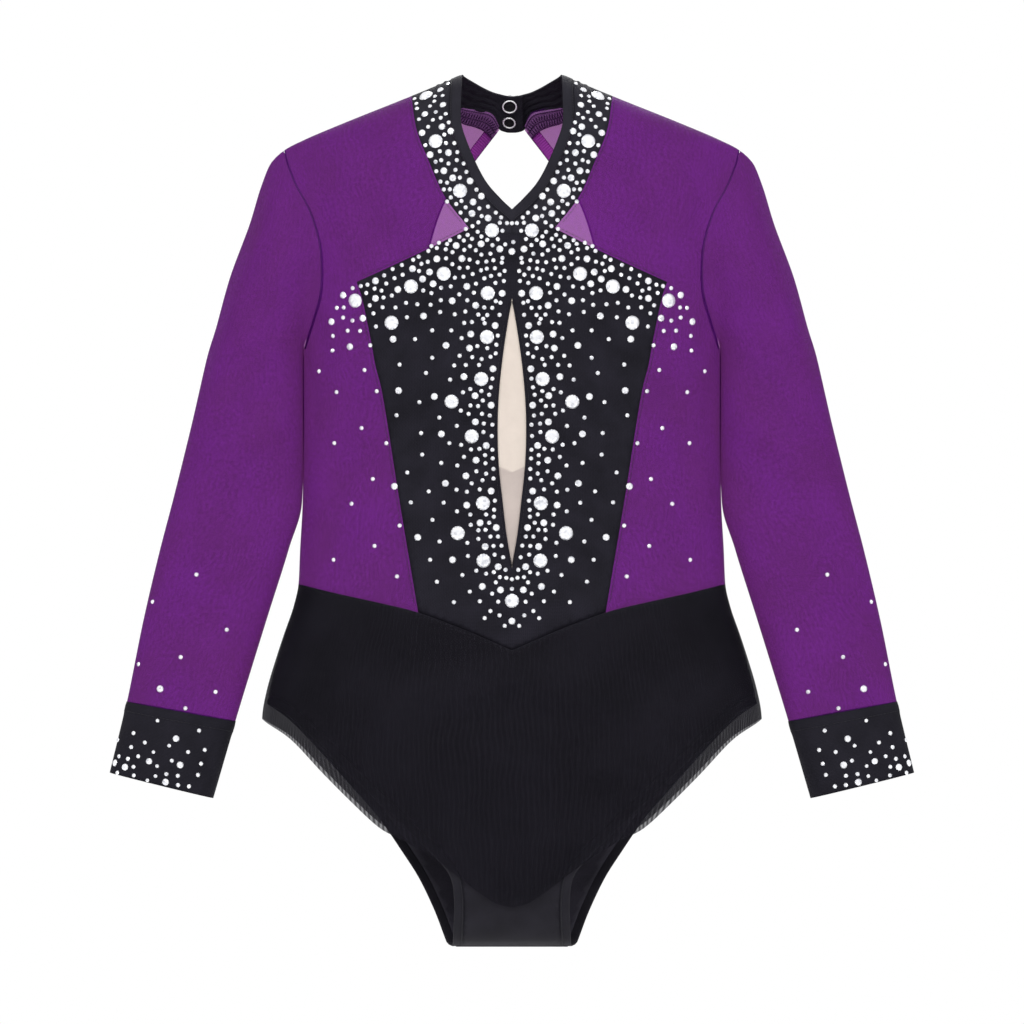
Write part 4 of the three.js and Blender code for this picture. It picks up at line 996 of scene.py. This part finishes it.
# back collar: two gathered bands that lap at the centre
def collar_band(s):
    n, m = 110, 34
    top, foot = spline(COLLAR_TOP, n), spline(COLLAR_FOOT, n)
    k = np.linspace(0, 1, m)
    X = (top[:, None, 0] * (1 - k) + foot[:, None, 0] * k) * s
    Z = top[:, None, 1] * (1 - k) + foot[:, None, 1] * k
    Z = np.minimum(Z, ridge(X) - 0.02)
    t = np.clip((30 - X) / 20, 0, 1)
    lift = OVERLAP_LIFT * t * t * (3 - 2 * t) if s > 0 else 0 * t
    Y = torso_depth(X, Z, 1)
    Y = np.where(ridge(X) - Z < 0.03, 0, Y)
    P = np.stack([X, Y, Z], 2)
    N = grid_normals(P)
    if N[..., 1].mean() < 0:
        N = -N
    along = np.cumsum(np.concatenate([[0], np.linalg.norm(np.diff(P[:, m // 2], axis=0), axis=1)]))[:, None]
    flat_zone = smooth01((np.abs(X - SNAP_X) - 5) / 8)
    g = 0.42 * np.sin(k[None] * 27 + 1.1 * np.sin(along * 0.16) + 0.5 * np.sin(along * 0.41)) * flat_zone * np.sin(np.pi * k)[None] ** 0.5
    g += 0.22 * np.sin(along * 0.55 + 3 * k[None]) * flat_zone * np.sin(np.pi * k)[None] ** 0.5
    P = P + N * g[..., None]
    P[..., 1] += lift
    v = P.reshape(-1, 3)
    f = grid_faces(n, m)
    nn = vertex_normals(v, f)
    if nn[:, 1].sum() < 0:
        f = [q[::-1] for q in f]
    w = np.linalg.norm(P[:, -1] - P[:, 0], axis=1).mean()
    uv = np.stack([np.repeat(along, m, 1).ravel(), np.tile(k * w, n)], 1)
    return (v, f, uv), P, N


for s, nd, body in ((-1, "collar_back_underlap", "collar_inner"), (1, "collar_back_overlap", "collar_outer")):
    cm, P, N = collar_band(s)
    finish_piece("cloth_" + nd, cm, collar_black, [nd], body, thickness=1.1)
    # rolled top edge and seam roll at the foot
    for which, r in ((0, 0.75), (-1, 0.6)):
        line = P[:, which] + N[:, which] * -0.5
        SEAMS.setdefault("rolls", []).append((line, r, body, nd + ("_top_roll" if which == 0 else "_foot_roll")))


# ------------------------------------------------------------------ tubes, stitches
def tube(line, r, sides=8):
    line = np.asarray(line, float)
    n = len(line)
    t = np.gradient(line, axis=0)
    t /= np.maximum(np.linalg.norm(t, axis=1), 1e-9)[:, None]
    ref = np.tile([0.0, 1.0, 0.0], (n, 1))
    bad = np.abs((t * ref).sum(1)) > 0.95
    ref[bad] = [1.0, 0, 0]
    a = np.cross(t, ref)
    a /= np.maximum(np.linalg.norm(a, axis=1), 1e-9)[:, None]
    b = np.cross(t, a)
    k = 2 * np.pi * np.arange(sides) / sides
    ring = line[:, None] + r * (a[:, None] * np.cos(k)[None, :, None] + b[:, None] * np.sin(k)[None, :, None])
    v = ring.reshape(-1, 3)
    f = grid_faces(n, sides, True) + [list(range(sides))[::-1], [(n - 1) * sides + j for j in range(sides)]]
    nn = vertex_normals(v, f)
    if ((v - line.repeat(sides, 0)) * nn).sum() < 0:
        f = [q[::-1] for q in f]
    s = np.concatenate([[0], np.cumsum(np.linalg.norm(np.diff(line, axis=0), axis=1))])
    uv = np.stack([np.tile(k * r, n), np.repeat(s, sides)], 1)
    return v, f, uv


def join_many(parts):
    v, f, uv, base = [], [], [], 0
    for p in parts:
        v.append(p[0])
        uv.append(p[2])
        f += [[i + base for i in q] for q in p[1]]
        base += len(p[0])
    return np.vstack(v), f, np.vstack(uv)


def surface_line(path, side, kind="torso", lift=0.0, step=1.0, mirror=1, e=0.0):
    """A path (x, z) laid on the garment, with its outward normals."""
    p = resample(np.asarray(path, float), max(4, int(length(path) / step) + 1))
    P = np.stack([p[:, 0], side * depth(p[:, 0], p[:, 1], side, kind, e), p[:, 1]], 1)
    N = surface_normal(p[:, 0], p[:, 1], side, kind, e)
    P = P + N * lift
    P[:, 0] *= mirror
    N = N.copy()
    N[:, 0] *= mirror
    return P, N


def surface_normal(x, z, side, kind="torso", e=0.0, d=0.6):
    hx = (depth(x + d, z, side, kind, e) - depth(x - d, z, side, kind, e)) / (2 * d)
    hz = (depth(x, z + d, side, kind, e) - depth(x, z - d, side, kind, e)) / (2 * d)
    sx = np.where(np.asarray(x) < 0, -1, 1)
    n = np.stack([-hx, np.full(np.shape(x), float(side)), -hz], 1)
    return n / np.linalg.norm(n, axis=1)[:, None]


def stitches(P, N, pitch=2.4, size=1.7, r=0.16, offset=0.0, slant=0.0, zig=0.0):
    """Separate thread stitches along a line of points with normals."""
    s = np.concatenate([[0], np.cumsum(np.linalg.norm(np.diff(P, axis=0), axis=1))])
    out = []
    k = np.arange(pitch / 2, s[-1] - pitch / 2, pitch)
    C = np.stack([np.interp(k, s, P[:, j]) for j in range(3)], 1)
    M = np.stack([np.interp(k, s, N[:, j]) for j in range(3)], 1)
    T = np.gradient(P, axis=0)
    T = np.stack([np.interp(k, s, T[:, j]) for j in range(3)], 1)
    T /= np.maximum(np.linalg.norm(T, axis=1), 1e-9)[:, None]
    S = np.cross(M, T)
    for i in range(len(k)):
        d = T[i] + S[i] * (slant if not zig else (zig if i % 2 else -zig))
        d = d / np.linalg.norm(d)
        c = C[i] + S[i] * offset
        a = c - d * size / 2
        b = c + d * size / 2
        line = np.array([a - M[i] * 0.12, a * 0.75 + b * 0.25 + M[i] * r, a * 0.25 + b * 0.75 + M[i] * r, b - M[i] * 0.12])
        out.append(tube(line, r, 5))
    return out


for line, r, body, nm in SEAMS["rolls"]:
    o = new_object(nm, *[(q) for q in tube(line, r, 8)[:2]], collar_black, uv=tube(line, r, 8)[2])
    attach(o, body)

TOP = {"torso": []}


def stitch_piece(name, parts, body, material):
    if not parts:
        return None
    v, f, uv = join_many(parts)
    o = new_object(name, v, f, material, uv=uv)
    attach(o, body)
    return o


for s, nm in ((1, "right"), (-1, "left")):
    parts = []
    # neck binding and collar edge
    for path, off in ((shifted(bind, -0.9), 0), (shifted(bind, 1.0), 0)):
        P, N = surface_line(path[1:-1], -1, lift=0.75 if off == 0 else 0.2, mirror=s)
        parts += stitches(P, N, 2.3, 1.6, 0.15)
        break
    for path in (shifted(yoke_side, 1.6), shifted(yoke_top, 1.6), shifted(collar_edge, 1.6)):
        q = path[2:-2]
        P, N = surface_line(q, -1, lift=0.05, mirror=s)
        parts += stitches(P, N, 2.4, 1.7, 0.15)
    q = shifted(keyhole, 1.7)[8:-8]
    P, N = surface_line(q, -1, lift=0.05, mirror=s)
    parts += stitches(P, N, 2.4, 1.7, 0.15)
    stitch_piece("topstitch_front_" + nm, parts, "torso", black_thread)
    # leg binding topstitch, 1.4 mm inside its inner edge
    m = leg_mid.shape[1]
    line = leg_mid[:, int(m * 0.72)] + leg_normals[:, int(m * 0.72)] * 1.0
    line2, nor2 = line.copy(), leg_normals[:, int(m * 0.72)].copy()
    line2[:, 0] *= s
    nor2[:, 0] *= s
    stitch_piece("topstitch_leg_" + nm, stitches(line2, nor2, 2.6, 1.9, 0.16), "torso", black_thread)
    # hems of the back mesh along the keyhole
    A = back_key_upper[1:]
    wide = 1.3 + 6.0 * (1 - smooth01((-A[:, 1] - 26) / 34))
    sgn = 1.0 if shifted(A, 6.0)[len(A) // 2, 0] > A[len(A) // 2, 0] else -1.0
    Bk = A + (shifted(A, sgn) - A) * wide[:, None]
    hem = band(A, Bk, np.ones(len(A)), thick=0.4, crown=0.05, base=-0.45, m=5)
    hem = hem if s > 0 else mirror_mesh(hem)
    body = "collar_outer" if s > 0 else "collar_inner"
    finish_piece("hem_back_mesh_" + nm, hem, hem_cloth, [], None, blend_to=body, weights=flap_weight, sheet=False)
    P, N = surface_line(A + (Bk - A) * 0.82, 1, lift=0.1, mirror=s)
    v, f, uv = join_many(stitches(P, N, 2.2, 1.6, 0.13))
    o = new_object("hem_stitch_" + nm, v, f, purple_thread, uv=uv)
    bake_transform(o)
    # armhole seam: overlock rib inside, ridge outside
    parts = []
    Pf, N = surface_line(_arm_line[2:-1], -1, lift=-0.9, mirror=s)
    Pb, N = surface_line(_arm_line[2:-1], 1, lift=-0.9, mirror=s)
    top = np.array([[s * 147.5, 0, float(ridge(147.5)) - 0.7]])
    parts.append(tube(np.vstack([Pb[::-1], top, Pf]), 0.5, 6))
    v, f, uv = join_many(parts)
    o = new_object("armhole_seam_" + nm, v, f, seam_thread, uv=uv)
    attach(o, "torso")
    # overlock ladder under the back collar
    P, N = surface_line(shifted(foot_line[1:-1], 1.0)[:], 1, lift=-1.4, mirror=s)
    lower = spline([[52, 7.5], [43.5, 0.0], [33.1, -6.8], [24, -9.6], [17.5, -12.8], [13.0, -17.2]], 60)
    upper = spline([[52.8, 14.0], [43.5, 8.8], [33.1, 3.8], [22, 1.8], [13, -0.6], [8.2, -8.6]], 60)
    strip = band(upper, lower, np.ones(60), thick=0.7, crown=0.1, base=-1.3, m=5)
    strip = strip if s > 0 else mirror_mesh(strip)
    o = new_object("overlock_strip_" + nm, strip[0], strip[1], strip_cloth, uv=strip[2])
    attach(o, body)
    rungs, rails = [], []
    for k in (0.36, 0.74):
        P, N = surface_line(upper * (1 - k) + lower * k, 1, lift=-2.0, mirror=s)
        rungs += stitches(P, -N, 1.75, 2.9, 0.34, slant=6.0, offset=0.0)
    for k in (0.10, 0.55, 0.97):
        R_, N_ = surface_line(upper * (1 - k) + lower * k, 1, lift=-2.0, mirror=s)
        rails.append(tube(R_, 0.24, 6))
    stitch_piece("overlock_thread_" + nm, rungs + rails, body, plum_thread)
    # cuff stitch lines
    parts = []
    a = np.linspace(0, 2 * np.pi, 180)
    for t in (12.12,):
        ox, oz, ix, iz, d = sleeve_row(t)
        c = -np.cos(a)
        sg = np.where((a % (2 * np.pi)) < np.pi, -1.0, 1.0)
        P = np.stack([(ox + ix) / 2 + c * (ox - ix) / 2 * 1.012, sg * (d + 0.75) * lens(c), (oz + iz) / 2 + c * (oz - iz) / 2 * 1.012], 1)
        Cn = P.mean(0)
        N = P - Cn
        N[:, 0] *= 0.35
        N /= np.linalg.norm(N, axis=1)[:, None]
        P[:, 0] *= s
        N[:, 0] *= s
        parts += stitches(P, N, 2.4, 1.7, 0.15)
    stitch_piece("topstitch_cuff_" + nm, parts, nm + "_sleeve", black_thread)

# keyhole rolled edges
for s, nm in ((1, "right"), (-1, "left")):
    P, N = surface_line(keyhole[1:-1] + [0.25, 0], -1, lift=-0.4, mirror=s)
    v, f, uv = tube(P, 0.62, 8)
    o = new_object("keyhole_edge_" + nm, v, f, black, uv=uv)
    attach(o, "torso")


# ------------------------------------------------------------------ press snaps
def lathe(profile, at, normal, n=48):
    prof = np.array(profile, float)
    z = Vector(normal).normalized()
    x = z.orthogonal().normalized()
    y = z.cross(x)
    k = 2 * np.pi * np.arange(n) / n
    v = []
    for r, h in prof:
        for q in k:
            p = Vector(at) + x * (r * math.cos(q)) + y * (r * math.sin(q)) + z * h
            v.append(tuple(p))
    f = grid_faces(len(prof), n, True)
    f += [list(range(n))[::-1], [(len(prof) - 1) * n + j for j in range(n)]]
    v = np.array(v)
    nn = vertex_normals(v, f)
    c = np.repeat(np.array([np.array(at) + np.array(z) * float(h) for r, h in prof]), n, 0)
    if ((v - c) * nn).sum() < 0:
        f = [q[::-1] for q in f]
    return v, f, np.zeros((len(v), 2))


def round_ring(R_in, R_out, h0, thick, k=14):
    """Profile of a ring with a domed section."""
    a = np.linspace(0, 2 * np.pi, k, endpoint=False)
    return [((R_in + R_out) / 2 + (R_out - R_in) / 2 * math.cos(q), h0 + thick / 2 * math.sin(q)) for q in a]


def ring_mesh(R_in, R_out, h0, thick, at, normal, n=56):
    prof = round_ring(R_in, R_out, h0, thick)
    m = len(prof)
    z = Vector(normal).normalized()
    x = z.orthogonal().normalized()
    y = z.cross(x)
    v = []
    for i in range(n):
        q = 2 * math.pi * i / n
        d = x * math.cos(q) + y * math.sin(q)
        for r, h in prof:
            v.append(tuple(Vector(at) + d * r + z * h))
    f = [[i * m + j, i * m + (j + 1) % m, ((i + 1) % n) * m + (j + 1) % m, ((i + 1) % n) * m + j] for i in range(n) for j in range(m)]
    v = np.array(v)
    nn = vertex_normals(v, f)
    mid = np.repeat(np.array([tuple(Vector(at) + (x * math.cos(2 * math.pi * i / n) + y * math.sin(2 * math.pi * i / n)) * ((R_in + R_out) / 2) + z * h0) for i in range(n)]), m, 0)
    if ((v - mid) * nn).sum() < 0:
        f = [q[::-1] for q in f]
    return v, f, np.zeros((len(v), 2))


for i, (zz, R) in enumerate(zip(SNAP_Z, SNAP_R)):
    y = float(torso_depth(np.array([SNAP_X]), np.array([zz]), 1)[0])
    d = 0.4
    g = lambda a, b: float(torso_depth(np.array([a]), np.array([b]), 1)[0])
    n = Vector((-(g(SNAP_X + d, zz) - g(SNAP_X - d, zz)) / (2 * d), 1, -(y - g(SNAP_X, zz - d)) / d)).normalized()
    at = (SNAP_X, y, zz)
    lab = "lower" if i else "upper"
    a0, L = -2.0, OVERLAP_LIFT
    facing = (n + Vector((0.13, 0, 0.24))).normalized() if i else (n * 0.8 + Vector((0, 0.2, 0))).normalized()
    # stud side: open ring seen from inside the neck, post through the underlap
    stud = join_many([
        ring_mesh(R - 0.95, R, a0 - (0.75 if i else 0.9), 0.9, at, facing),
        lathe([(0.01, -0.3), (1.9, -0.3), (2.2, a0 + 0.2), (2.9, a0 + 0.1), (2.9, 0.3), (4.0, 0.3), (4.1, 0.55), (3.9, 0.8), (1.8, 0.9), (1.65, 1.7), (1.3, 2.05), (0.01, 2.15)], at, n)])
    o = new_object("snap_ring_stud_" + lab, stud[0], stud[1], steel, uv=stud[2])
    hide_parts("snap_" + lab + "_stud")
    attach(o, "collar_inner")
    # the well inside the ring is near black: painted shade in the hollow of the snap
    well = lathe([(0.01, a0 + 0.25), (1.2, a0 + 0.2), (1.5, a0 - 0.1), (2.2, a0 - 0.15), (R - 1.0, a0 - 0.1), (R - 0.6, a0 + 0.1), (R - 0.6, -0.2), (0.01, -0.2)], at, n)
    o = new_object("snap_well_" + lab, well[0], well[1], snap_well_painted_shade, uv=well[2])
    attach(o, "collar_inner")
    b0 = L + 0.25
    sock = join_many([
        ring_mesh(R * 0.55, R, b0 + 0.35, 1.0, at, n),
        lathe([(0.01, 2.5), (2.0, 2.5), (2.0, 1.2), (3.9, 1.2), (4.0, 1.4), (4.0, L - 2.0), (2.8, L - 2.0), (2.8, b0 + 0.1), (1.9, b0 + 0.2), (0.01, b0 + 0.05)], at, n)])
    o = new_object("snap_ring_socket_" + lab, sock[0], sock[1], steel, uv=sock[2])
    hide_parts("snap_" + lab + "_socket")
    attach(o, "collar_outer")


# ------------------------------------------------------------------ stones
def cut_stone(R, n, rise):
    """Flat-back brilliant: girdle, two rows of crown facets and a table, flat shaded."""
    rings = [(R, 0.0, 0), (R, rise * 0.16, 0), (R * 0.80, rise * 0.62, 0.5), (R * 0.50, rise, 0)]
    v = [(0, 0, 0)]
    for r, h, ph in rings:
        for j in range(n):
            a = 2 * math.pi * (j + ph) / n
            v.append((r * math.cos(a), r * math.sin(a), h))
    v.append((0, 0, rise))
    f = []
    idx = lambda k, j: 1 + k * n + j % n
    for j in range(n):
        f.append([0, idx(0, j + 1), idx(0, j)])
        f.append([idx(0, j), idx(0, j + 1), idx(1, j + 1), idx(1, j)])
        f.append([idx(1, j), idx(1, j + 1), idx(2, j)])
        f.append([idx(2, j), idx(1, j + 1), idx(2, j + 1)])
        f.append([idx(2, j), idx(2, j + 1), idx(3, j + 1)])
        f.append([idx(2, j), idx(3, j + 1), idx(3, j)])
    f.append([idx(3, j) for j in range(n)])
    return np.array(v[:-1]), f


SHAPES = {"large": cut_stone(LARGE_R, 14, 2.3), "medium": cut_stone(MEDIUM_R, 10, 1.35), "small": cut_stone(SMALL_R, 8, 0.95)}


def place_stones(name, items, body, replace=()):
    V, F, base = [], [], 0
    for kind, x, z, sk, side in items:
        sv, sf = SHAPES[kind]
        ax = abs(x)
        p = np.array([[ax, side * depth(np.array([ax]), np.array([z]), side, sk)[0], z]])
        n = surface_normal(np.array([ax]), np.array([z]), side, sk, d=1.4)[0]
        if x < 0:
            p[0, 0] *= -1
            n = n * [-1, 1, 1]
        zdir = Vector(n)
        xdir = zdir.orthogonal().normalized()
        ydir = zdir.cross(xdir)
        turn = rng.uniform(0, math.pi)
        tilt = rng.normal(0, 0.035, 2)
        zdir = (zdir + xdir * tilt[0] + ydir * tilt[1]).normalized()
        xdir = (xdir - zdir * xdir.dot(zdir)).normalized()
        ydir = zdir.cross(xdir)
        xa = xdir * math.cos(turn) + ydir * math.sin(turn)
        ya = zdir.cross(xa)
        M = np.array([xa, ya, zdir])
        V.append(sv @ M + p + np.array(zdir) * (0.12 if kind == "large" else 0.05))
        F += [[i + base for i in q] for q in sf]
        base += len(sv)
    o = new_object(name, np.vstack(V), F, crystal, smooth=False, uv=np.zeros((base, 2)))
    if replace:
        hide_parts(*replace)
    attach(o, body)
    return o


groups = {}
for s, nm in ((1, "right"), (-1, "left")):
    for kind, rows in (("large", [r[1:] for r in LARGE]), ("medium", MEDIUM), ("small", SMALL)):
        for x, z in rows:
            # region: collar, yoke and bodice, mesh, sleeve, cuff
            if x > 150:
                t, c = sleeve_coords(np.array([x]), np.array([z]))
                g = ("cuff_" if t[0] > 12.0 else "sleeve_") + nm
                sk = "sleeve"
            else:
                sk = "torso"
                g = ("collar_" if (z > -80 and kind != "large") else "large_" if kind == "large" else "bodice_") + nm
            groups.setdefault(g, []).append((kind, x * s, z, sk, -1))
groups["bodice_right"] += [("medium", 0.001, z, "torso", -1) for x, z in CENTRE_MEDIUM] + [("small", 0.001, z, "torso", -1) for x, z in CENTRE_SMALL]
groups["bodice_right"].append(("small", 0.9, -86.9, "torso", -1))
groups["bodice_left"].append(("small", -4.3, -88.4, "torso", -1))
groups["large_right"].append(("large", 0.001, -318.7, "torso", -1))
for g, items in groups.items():
    nm = "right" if g.endswith("right") else "left"
    body = nm + "_sleeve" if g.startswith(("sleeve", "cuff")) else "torso"
    rep = ["crystal_%s_%s" % (r[0], nm) for r in LARGE] if g.startswith("large") else []
    if g == "large_right":
        rep.append("crystal_centre")
    place_stones("stones_" + g, items, body, rep)

SHEETS = {
    "cloth_front_mesh_right": (0.165, 0.365, 0.0249), "cloth_front_mesh_left": (0.165, 0.365, 0.0249),
    "cloth_back_mesh_right": (0.182, 0.366, 0.0312), "cloth_back_mesh_left": (0.182, 0.366, 0.0312),
    "cloth_sleeve_right": (0.276, 0.376, 0.0625), "cloth_sleeve_left": (0.276, 0.376, 0.0625),
    "cloth_bodice": (0.193, 0.273, 0.0376), "cloth_back_panel": (0.129, 0.140, 0.0151),
    "cloth_collar_front_right": (0.054, 0.132, 0.0030), "cloth_collar_front_left": (0.054, 0.132, 0.0030),
    "cloth_collar_back_underlap": (0.077, 0.024, 0.0018), "cloth_collar_back_overlap": (0.077, 0.024, 0.0018),
    "cloth_keyhole_insert": (0.023, 0.183, 0.0030),
    "cloth_brief_front": (0.377, 0.258, 0.0449), "cloth_brief_back": (0.377, 0.258, 0.0508),
    "cloth_apron_front": (0.376, 0.210, 0.0473), "cloth_apron_back": (0.376, 0.210, 0.0487),
    "cloth_cuff_right": (0.273, 0.050, 0.0087), "cloth_cuff_left": (0.273, 0.050, 0.0087),
}
for name, o in PIECES.items():
    w, l, a = SHEETS[name]

# ------------------------------------------------------------------ stage, camera, light
def emissive_free_floor():
    m, t, out = fresh("pale_floor")
    p = node(t, "ShaderNodeBsdfPrincipled")
    tc = node(t, "ShaderNodeTexCoord")
    g = noise(t, tc.outputs["Object"], 3.0, 3)
    t.links.new(ramp(t, g, [(0.3, (0.86, 0.86, 0.86)), (0.7, (0.90, 0.90, 0.90))]), p.inputs["Base Color"])
    p.inputs["Roughness"].default_value = 0.85
    p.inputs["Specular IOR Level"].default_value = 0.1
    t.links.new(p.outputs[0], out.inputs[0])
    return m


n = 96
k = 2 * np.pi * np.arange(n) / n
disc = np.stack([1300 * np.cos(k), 1300 * np.sin(k), np.full(n, -665.0)], 1)
floor = new_object("floor", disc, [list(range(n))], emissive_free_floor(), smooth=False)

world = bpy.data.worlds.new("studio")
bpy.context.scene.world = world
world.use_nodes = True
wt = world.node_tree
wt.nodes.clear()
wo = node(wt, "ShaderNodeOutputWorld")
bg_seen, bg_light = node(wt, "ShaderNodeBackground"), node(wt, "ShaderNodeBackground")
bg_seen.inputs[0].default_value = (1, 1, 1, 1)
bg_seen.inputs[1].default_value = 1.0
tc = node(wt, "ShaderNodeTexCoord")
sep = node(wt, "ShaderNodeSeparateXYZ")
wt.links.new(tc.outputs["Generated"], sep.inputs[0])
grad = math_node(wt, "MULTIPLY_ADD", sep.outputs[2], 0.5, 0.5)
wt.links.new(ramp(wt, grad, [(0.0, (0.42, 0.42, 0.43)), (0.45, (0.62, 0.62, 0.63)), (0.6, (0.74, 0.74, 0.75)), (1.0, (1.0, 1.0, 1.0))]), bg_light.inputs[0])
bg_light.inputs[1].default_value = 0.85
lp = node(wt, "ShaderNodeLightPath")
mx = node(wt, "ShaderNodeMixShader")
wt.links.new(lp.outputs["Is Camera Ray"], mx.inputs[0])
wt.links.new(bg_light.outputs[0], mx.inputs[1])
wt.links.new(bg_seen.outputs[0], mx.inputs[2])
wt.links.new(mx.outputs[0], wo.inputs[0])


def area_light(name, at, size, power, aim=(0, 0, -0.25)):
    d = bpy.data.lights.new(name, "AREA")
    d.shape = "RECTANGLE"
    d.size, d.size_y = size
    d.energy = power
    o = bpy.data.objects.new(name, d)
    o.location = at
    o.rotation_euler = (Vector(aim) - Vector(at)).to_track_quat("-Z", "Y").to_euler()
    bpy.context.collection.objects.link(o)
    return o


area_light("key", (-1.7, -2.6, 1.5), (1.1, 1.1), 42)
area_light("fill", (1.9, -2.6, 0.9), (1.3, 1.3), 30)
area_light("back", (0.2, 2.6, 1.3), (1.6, 1.2), 32)
area_light("glint_left", (-0.7, -2.4, 0.9), (0.16, 0.16), 7)
area_light("glint_right", (0.9, -2.3, 0.55), (0.16, 0.16), 7)
area_light("glint_top", (0.1, -1.9, 1.5), (0.2, 0.2), 8)

cam_data = bpy.data.cameras.new("camera")
cam = bpy.data.objects.new("camera", cam_data)
bpy.context.collection.objects.link(cam)
DIST = 8.0
cam.location = (0.00006, -DIST, (110 - 512) * 0.65 * MM)
cam.rotation_euler = (math.pi / 2, 0, 0)
cam_data.sensor_width = 36
cam_data.lens = 36 * DIST / (1024 * 0.65 * MM)
cam_data.clip_end = 60
bpy.context.scene.camera = cam
bpy.context.scene.view_settings.view_transform = "Standard"
